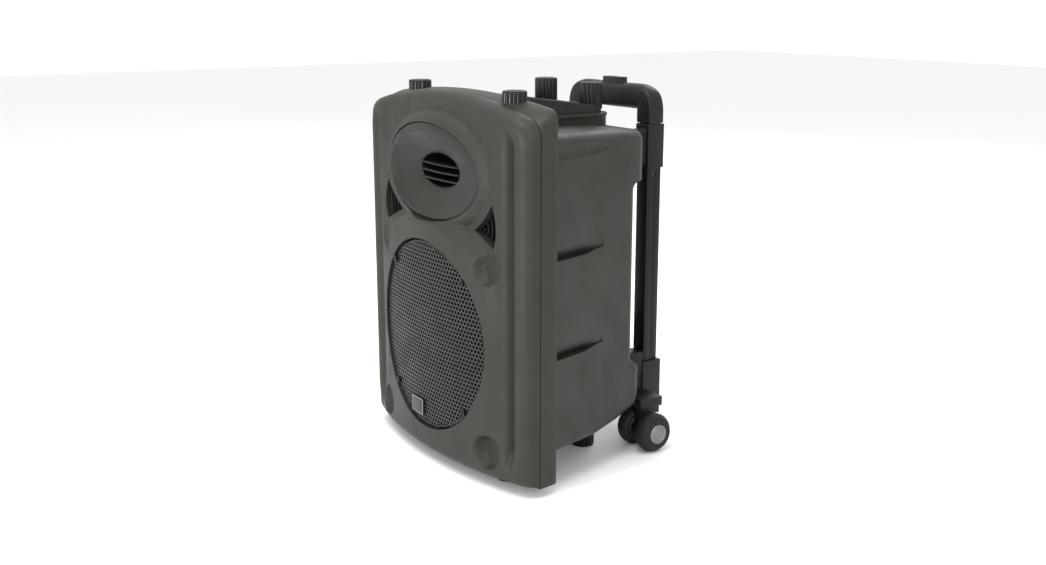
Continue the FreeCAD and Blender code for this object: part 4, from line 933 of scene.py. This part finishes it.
def scoop(side, z, half_height, start, length, depth, sharp=True):
    """A gill that is deep at the rim and fades out along the side."""
    steps = 16
    sections = []
    for index in range(steps + 1):
        share = index / steps
        along = start + length * share
        fade = 1.0 - ease(share, 0.55, 1.0) * 0.9
        surface = side_half(along)
        reach = half_height * (0.45 + 0.55 * fade)
        low, tall, deep = z - reach, 2 * reach, depth * fade
        cross = [(3.0, low), (3.0, low + tall), (0.0, low + tall), (-0.35 * deep, low + tall * 0.72),
                 (-0.72 * deep, low + tall * 0.42), (-deep, low + tall * 0.3)]
        if sharp:
            cross += [(-2.2 * deep, low + tall * 0.26), (-2.2 * deep, low)]
        else:
            cross += [(-0.8 * deep, low + tall * 0.14), (-0.3 * deep, low)]
        sections.append([(side * (surface + out), RIM_REAR + along, height) for out, height in cross])
    return loose("scoop", *stack(sections))


def side_half(depth):
    """Half width of the tapering body."""
    return 200.0 - 0.2653 * depth


def recess_cutter():
    """Rounded notch across the back, between the trolley's brackets."""
    columns = [-230.0, -152.0] + [-151.0 + 3.0 * step for step in range(8)]
    columns += [0.0] + [-x for x in reversed(columns)]
    return loose("recess", *stack([recess_line(x) for x in columns]))


def recess_line(x):
    """Outline of the notch at a distance from the middle; its ends curve forwards."""
    low, high, back, radius = 135.0, 406.0, 230.0, 14.0
    floor, bend = 180.0, 22.0
    past = min(max(abs(x) - 130.0, 0.0), bend - 0.1)
    front = floor - bend + math.sqrt(bend ** 2 - past ** 2)
    line = [(back, low - 12.0), (front + 16.0, low - 4.0)]
    for start, middle in ((-90.0, low + radius), (180.0, high - radius)):
        for step in range(7):
            angle = math.radians(start - 90.0 * step / 6)
            line.append((front + radius + radius * math.cos(angle), middle + radius * math.sin(angle)))
    line += [(front + 16.0, high + 4.0), (back, high + 12.0)]
    return [(x, RIM_REAR + y, z) for y, z in line]


# --------------------------------------------------------- tray and feet


STACK_HEIGHT = 539.0


def slope(y, drop=0.0):
    """Height of the tray's rim at a distance behind the front rim."""
    return 529.6 - drop - 0.135 * y


def make_tray():
    """Tray with a dished floor, a rounded rim and a deck for two feet."""
    foot, *rims = oval_sections(72.0, 2.0, 185.0, 26.0, ((0.0, 496.0), (0.0, 0.0), (0.5, 0.0), (1.5, 0.0)))
    tray = loose("tray", *stack([foot] + sloped(rims, (2.0, 0.7, 0.0))))
    insets = ((6.0, 0.0), (2.0, 0.0), (0.0, 0.0), (-0.4, 0.0), (-1.6, 0.0))
    dish = sloped(oval_sections(67.5, 8.0, 144.0, 21.0, insets), (14.0, 13.2, 10.0, 1.2, -1.0))
    carve(tray, [loose("dish", *stack(dish))])
    dress(tray, "tray", BASE, "top_tray", sharp=40.0)


def sloped(sections, drops):
    """Plan outlines laid on the tray's slope, each a drop below its rim."""
    laid = []
    for section, drop in zip(sections, drops):
        laid.append([(x, y, slope(y - RIM_REAR, drop)) for x, y, _ in section])
    return laid


def fluted_foot(name, centre, low, high, radius=17.0, ribs=16):
    """Rubber foot with upright ribs and a rounded top."""
    x, y = centre
    count = ribs * 8
    profile = [(1.0, low), (1.0, high - 2.4), (0.985, high - 1.2), (0.95, high - 0.35), (0.9, high),
               (0.78, high), (0.75, high - 0.5), (0.6, high - 0.7)]
    sections = []
    for reach, height in profile:
        section = []
        for index in range(count):
            angle = 2 * math.pi * index / count
            wave = 0.5 + 0.5 * math.cos(ribs * angle)
            groove = 1.25 * wave ** 3 if reach > 0.9 else 0.0
            distance = radius * reach - groove
            section.append((x + distance * math.cos(angle), y + distance * math.sin(angle), height))
        sections.append(section)
    return loose(name, *stack(sections))


def make_feet():
    """Stacking feet above and base feet below."""
    top = []
    base = []
    for side in (-1, 1):
        x = side * 125.0
        top.append(fluted_foot("foot", (x, RIM_REAR - 13.0), arch_top(x) - 12.0, STACK_HEIGHT, 16.6))
        deck = (side * 55.5, RIM_REAR + 165.0)
        top.append(fluted_foot("foot", deck, slope(165.0) - 6.0, STACK_HEIGHT, 16.9))
        for centre, height in (((side * 75.0, RIM_REAR + 143.0), 64.0), ((x, RIM_REAR - 24.0), 15.0)):
            foot = fluted_foot("base", centre, -height, 0.0)
            foot.data.transform(Matrix.Scale(-1.0, 4, (0, 0, 1)))
            base.append(foot)
    for feet, name in ((top, "stacking_feet"), (base, "base_feet")):
        whole = feet[0]
        join(whole, feet[1:])
        whole.name = f"{name}_ribbed"
        dress(whole, "foot", BASE, name)


# --------------------------------------------------------------- trolley


TUBE_Y = RIM_REAR + 253.0
WHEEL_AXIS = (RIM_REAR + 211.0, 29.0)


def make_grip():
    """Rounded grip bar with two short legs."""
    grip = loose("grip_shape", *grip_sections())
    apply(grip, "SUBSURF", levels=2, render_levels=2)
    window = bar_mesh("window", (0.0, TUBE_Y, 535.0), (50.8, 16.8, 20.0), 0.0)
    carve(grip, [window])
    dress(grip, "grip", "trolley", "trolley_grip", sharp=40.0)


def grip_sections():
    """Ring-like sections from one leg's foot, over the bar, to the other."""
    spine = [(-84.0, 477.7, 0.0), (-84.0, 478.6, 0.0), (-84.0, 490.0, 0.0), (-84.0, 503.0, 0.0),
             (-82.0, 512.5, 42.0), (-74.5, 514.8, 90.0), (-62.0, 514.8, 90.0), (-30.0, 514.6, 90.0)]
    mirrored = [(-x, z, 180.0 - angle) for x, z, angle in reversed(spine)]
    return stack([grip_section(*spot) for spot in spine + [(0.0, 514.5, 90.0)] + mirrored])


def grip_section(x, z, angle):
    """Rounded section across the grip, leaning by an angle in degrees."""
    lean = math.radians(angle)
    upright = min(angle, 180.0 - angle) / 90.0
    half_wide = 15.8 + 2.8 * upright
    half_deep = 14.4 + 0.1 * upright
    corner = 4.0 + 6.0 * upright
    section = []
    for across_side, deep_side, start in ((1, 1, 0), (-1, 1, 90), (-1, -1, 180), (1, -1, 270)):
        for step in range(3):
            bend = math.radians(start + 45 * step)
            across = across_side * (half_wide - corner) + corner * math.cos(bend)
            deep = deep_side * (half_deep - corner) + corner * math.sin(bend)
            section.append((x + across * math.cos(lean), TUBE_Y + deep, z - across * math.sin(lean)))
    return section


def lathe(name, axis, centre, profile, paint, body, *replaced, count=72, sharp=35.0):
    """A turned piece."""
    points, faces = stack(turn(axis, centre, profile, count))
    return piece(name, points, faces, paint, body, *replaced, sharp=sharp)


def make_wheels():
    """Two wheels a side and a silver cap on the outer ones."""
    for side, side_name in ((1, "right"), (-1, "left")):
        for step, place_name in ((-1, "inner"), (1, "outer")):
            make_wheel(f"{side_name}_{place_name}", (side * (136.0 + step * 21.0), *WHEEL_AXIS))
        make_hub_cap(side, side_name)


def make_wheel(label, centre):
    """Tyre with a round tread on a spoked hub."""
    body = f"wheel_{label}"
    lathe(f"tyre_{label}_round", "X", centre, tyre_profile(), "tyre", body, f"tyre_{label}", count=96)
    points, faces = stack(turn("X", centre, hub_profile(), 72), False)
    wheel = loose(f"hub_{label}_moulded", points, faces)
    join(wheel, [spoke(centre, index, face) for index in range(6) for face in (-1, 1)])
    dress(wheel, "hub", body, f"hub_{label}")


def tyre_profile():
    """Closed section of the tyre: straight bead and round tread."""
    profile = [(18.8, -11.0), (22.0, -11.6)]
    for index in range(13):
        angle = math.radians(-80 + 160 * index / 12)
        profile.append((20.5 + 8.5 * math.cos(angle), 11.6 * math.sin(angle)))
    profile += [(22.0, 11.6), (18.8, 11.0)]
    return profile + profile[:1]


def hub_profile():
    """Closed section of the hub: boss, web and rim, alike on both faces."""
    half = [(4.05, -12.0), (8.0, -12.0), (8.6, -11.4), (8.6, -9.4), (15.2, -9.4), (15.6, -11.5),
            (16.2, -12.0), (17.4, -12.0), (18.6, -11.0)]
    return half + [(radius, -along) for radius, along in reversed(half)] + half[:1]


def spoke(centre, index, face):
    """One short rib on a face of the hub."""
    rib = bar_mesh("spoke", (face * 10.2, 0.0, 11.9), (1.8, 2.2, 7.2), 0.4)
    swing = Matrix.Rotation(math.radians(60 * index), 4, "X")
    rib.data.transform(Matrix.Translation(to_metres(centre)) @ swing)
    return rib


def make_hub_cap(side, side_name):
    """Stepped silver cap over the end of the axle."""
    profile = [(14.6, 0.0), (14.8, 0.5), (14.4, 1.3), (13.2, 2.0), (10.6, 2.0), (9.8, 1.3), (7.2, 1.3),
               (6.6, 2.0), (5.4, 2.2), (1.0, 2.25)]
    profile = [(radius, side * along) for radius, along in profile]
    replaced = ("hub_caps",) if side > 0 else ()
    lathe(f"hub_cap_{side_name}", "X", (side * 169.0, *WHEEL_AXIS), profile, "silver", BASE, *replaced)


def make_knobs():
    """Ribbed knobs with a white pointer line."""
    pitch = 27.0
    for index, name in enumerate(("microphone", "music", "bass", "treble")):
        x, y, z = (index - 1.5) * pitch, RIM_REAR + 180.0, 365.0
        knob = loose(f"{name}_knob_ribbed", *stack(knob_sections((x, y, z))))
        dress(knob, "knob", f"{name}_control", f"{name}_knob")
        pointer = bar_mesh(f"{name}_pointer", (x, y + 13.9, z + 4.0), (0.9, 0.5, 5.2), 0.12)
        dress(pointer, "mark", f"{name}_control")


def knob_sections(centre, ribs=18):
    """Shaft, skirt and ribbed cap of a knob that stands out to the rear."""
    x, y, z = centre
    count = ribs * 6
    profile = ((9.7, 3.7, 0), (9.7, 5.0, 0), (8.9, 5.6, 0), (8.5, 6.2, 1), (7.8, 12.6, 1),
               (7.2, 13.6, 0), (6.4, 14.0, 0), (1.0, 14.0, 0))
    sections = turn("Y", centre, [(3.0, -8.0), (3.0, 3.7)], count)
    for radius, along, ribbed in profile:
        section = []
        for spot in range(count):
            angle = 2 * math.pi * spot / count
            reach = radius - ribbed * 0.45 * (0.5 + 0.5 * math.cos(ribs * angle))
            section.append((x + reach * math.cos(angle), y + along, z + reach * math.sin(angle)))
        sections.append(section)
    return sections


SOFTENED = (
    ("upper_clamps", "black", 1.6), ("lower_sockets", "black", 1.8), ("outer_tubes", "tube", 1.4),
    ("inner_tubes", "inner", 1.0), ("release_button", "grip", 2.4), ("amp_panel", "panel", 0.5),
    ("player_panel", "gloss", 0.6), ("player_screen", "screen", 0.2), ("power_switch_frame", "black", 0.6),
    ("power_rocker", "gloss", 0.5), ("mains_inlet", "black", 0.8), ("signal_jacks", "driver", 0.5),
    ("previous_key", "knob", 0.6), ("play_key", "knob", 0.6), ("next_key", "knob", 0.6),
    ("wheel_axles", "steel", 0.5), ("baffle_screws", "cabinet", 0.4), ("grille_screws", "screw", 0.5),
    ("panel_screws", "screw", 0.4), ("tube_end_plugs", "black", 0.5), ("battery", "panel", 1.2),
    ("mains_transformer", "driver", 0.8),
)
PLAIN = {
    "seam_gasket": "seal", "compression_driver": "driver", "woofer_magnet": "steel",
    "woofer_voice_coil": "copper", "woofer_cone": "cone", "woofer_dust_cap": "cone",
    "woofer_surround": "seal", "woofer_basket": "driver", "woofer_screws": "screw",
    "lock_pin_left": "steel", "lock_pin_right": "steel", "release_yoke": "steel",
    "button_spring": "steel", "bracket_screws": "screw", "amplifier_board": "board",
}


def make_softened():
    """Bevelled copies of the box-like pieces, each with a bevel width."""
    for node, paint, width in SOFTENED:
        soften(node, paint, width)


def paint_frame():
    """Materials for the CAD pieces that stay as they are."""
    for node, paint in PLAIN.items():
        obj = frame["nodes"][node]
        obj.data.materials.clear()
        obj.data.materials.append(PAINT[paint])


# ----------------------------------------------------------------- stage


LIGHTS = (
    ("overhead", (0.3, -0.7, 2.4), 36.0, 1.5),
    ("key", (2.9, -1.0, 1.3), 18.0, 0.9),
    ("column_light", (0.5, -2.9, 0.6), 42.0, 0.5),
    ("rear", (-1.5, 2.6, 2.2), 30.0, 2.0),
)
AIM = Vector((0.0, 0.0, 0.28))


def make_stage():
    """Everything round the object."""
    make_floor()
    make_surroundings()
    for name, place, power, wide in LIGHTS:
        make_light(name, place, power, wide)
    make_camera()


def make_floor(reach=9000):
    """Wide pale floor."""
    corners = [(-reach, -reach, 0), (reach, -reach, 0), (reach, reach, 0), (-reach, reach, 0)]
    floor = loose("floor", corners, [(0, 1, 2, 3)])
    finish = Finish("pale_floor")
    cloud = finish.noise(0.8, 2.0)
    pale = finish.mix(cloud, (0.86, 0.86, 0.86, 1.0), (0.9, 0.9, 0.9, 1.0))
    finish.set(base_color=pale, roughness=0.9)
    floor.data.materials.append(finish.material)


def make_surroundings():
    """Even white light from all sides and a plain tone curve."""
    world = bpy.data.worlds.new("studio")
    bpy.context.scene.world = world
    world.use_nodes = True
    background = world.node_tree.nodes["Background"]
    background.inputs["Color"].default_value = (1.0, 1.0, 1.0, 1.0)
    background.inputs["Strength"].default_value = 0.9
    bpy.context.scene.view_settings.view_transform = "Standard"
    bpy.context.scene.view_settings.exposure = 0.2


def make_light(name, place, power, wide):
    """Square soft light, in watts and metres, turned towards the object."""
    light = bpy.data.lights.new(name, "AREA")
    light.energy = power
    light.size = wide
    obj = bpy.data.objects.new(name, light)
    obj.location = place
    obj.rotation_euler = (AIM - Vector(place)).to_track_quat("-Z", "Y").to_euler()
    bpy.context.collection.objects.link(obj)


def make_camera():
    """View from the front and right, a little above the object."""
    camera = bpy.data.cameras.new("camera")
    camera.lens = 42.68
    camera.sensor_width = 36.0
    camera.sensor_fit = "HORIZONTAL"
    view = bpy.data.objects.new("camera", camera)
    view.location = (1.487, -1.0184, 0.668)
    view.rotation_euler = (math.radians(90 - 13.3), 0.0, math.radians(55.8))
    bpy.context.collection.objects.link(view)
    bpy.context.scene.camera = view


make_stage()
paint_frame()
make_front()
make_vents()
make_horn()
make_grille()
make_badge()
make_rear()
make_tray()
make_feet()
make_grip()
make_wheels()
make_knobs()
make_softened()
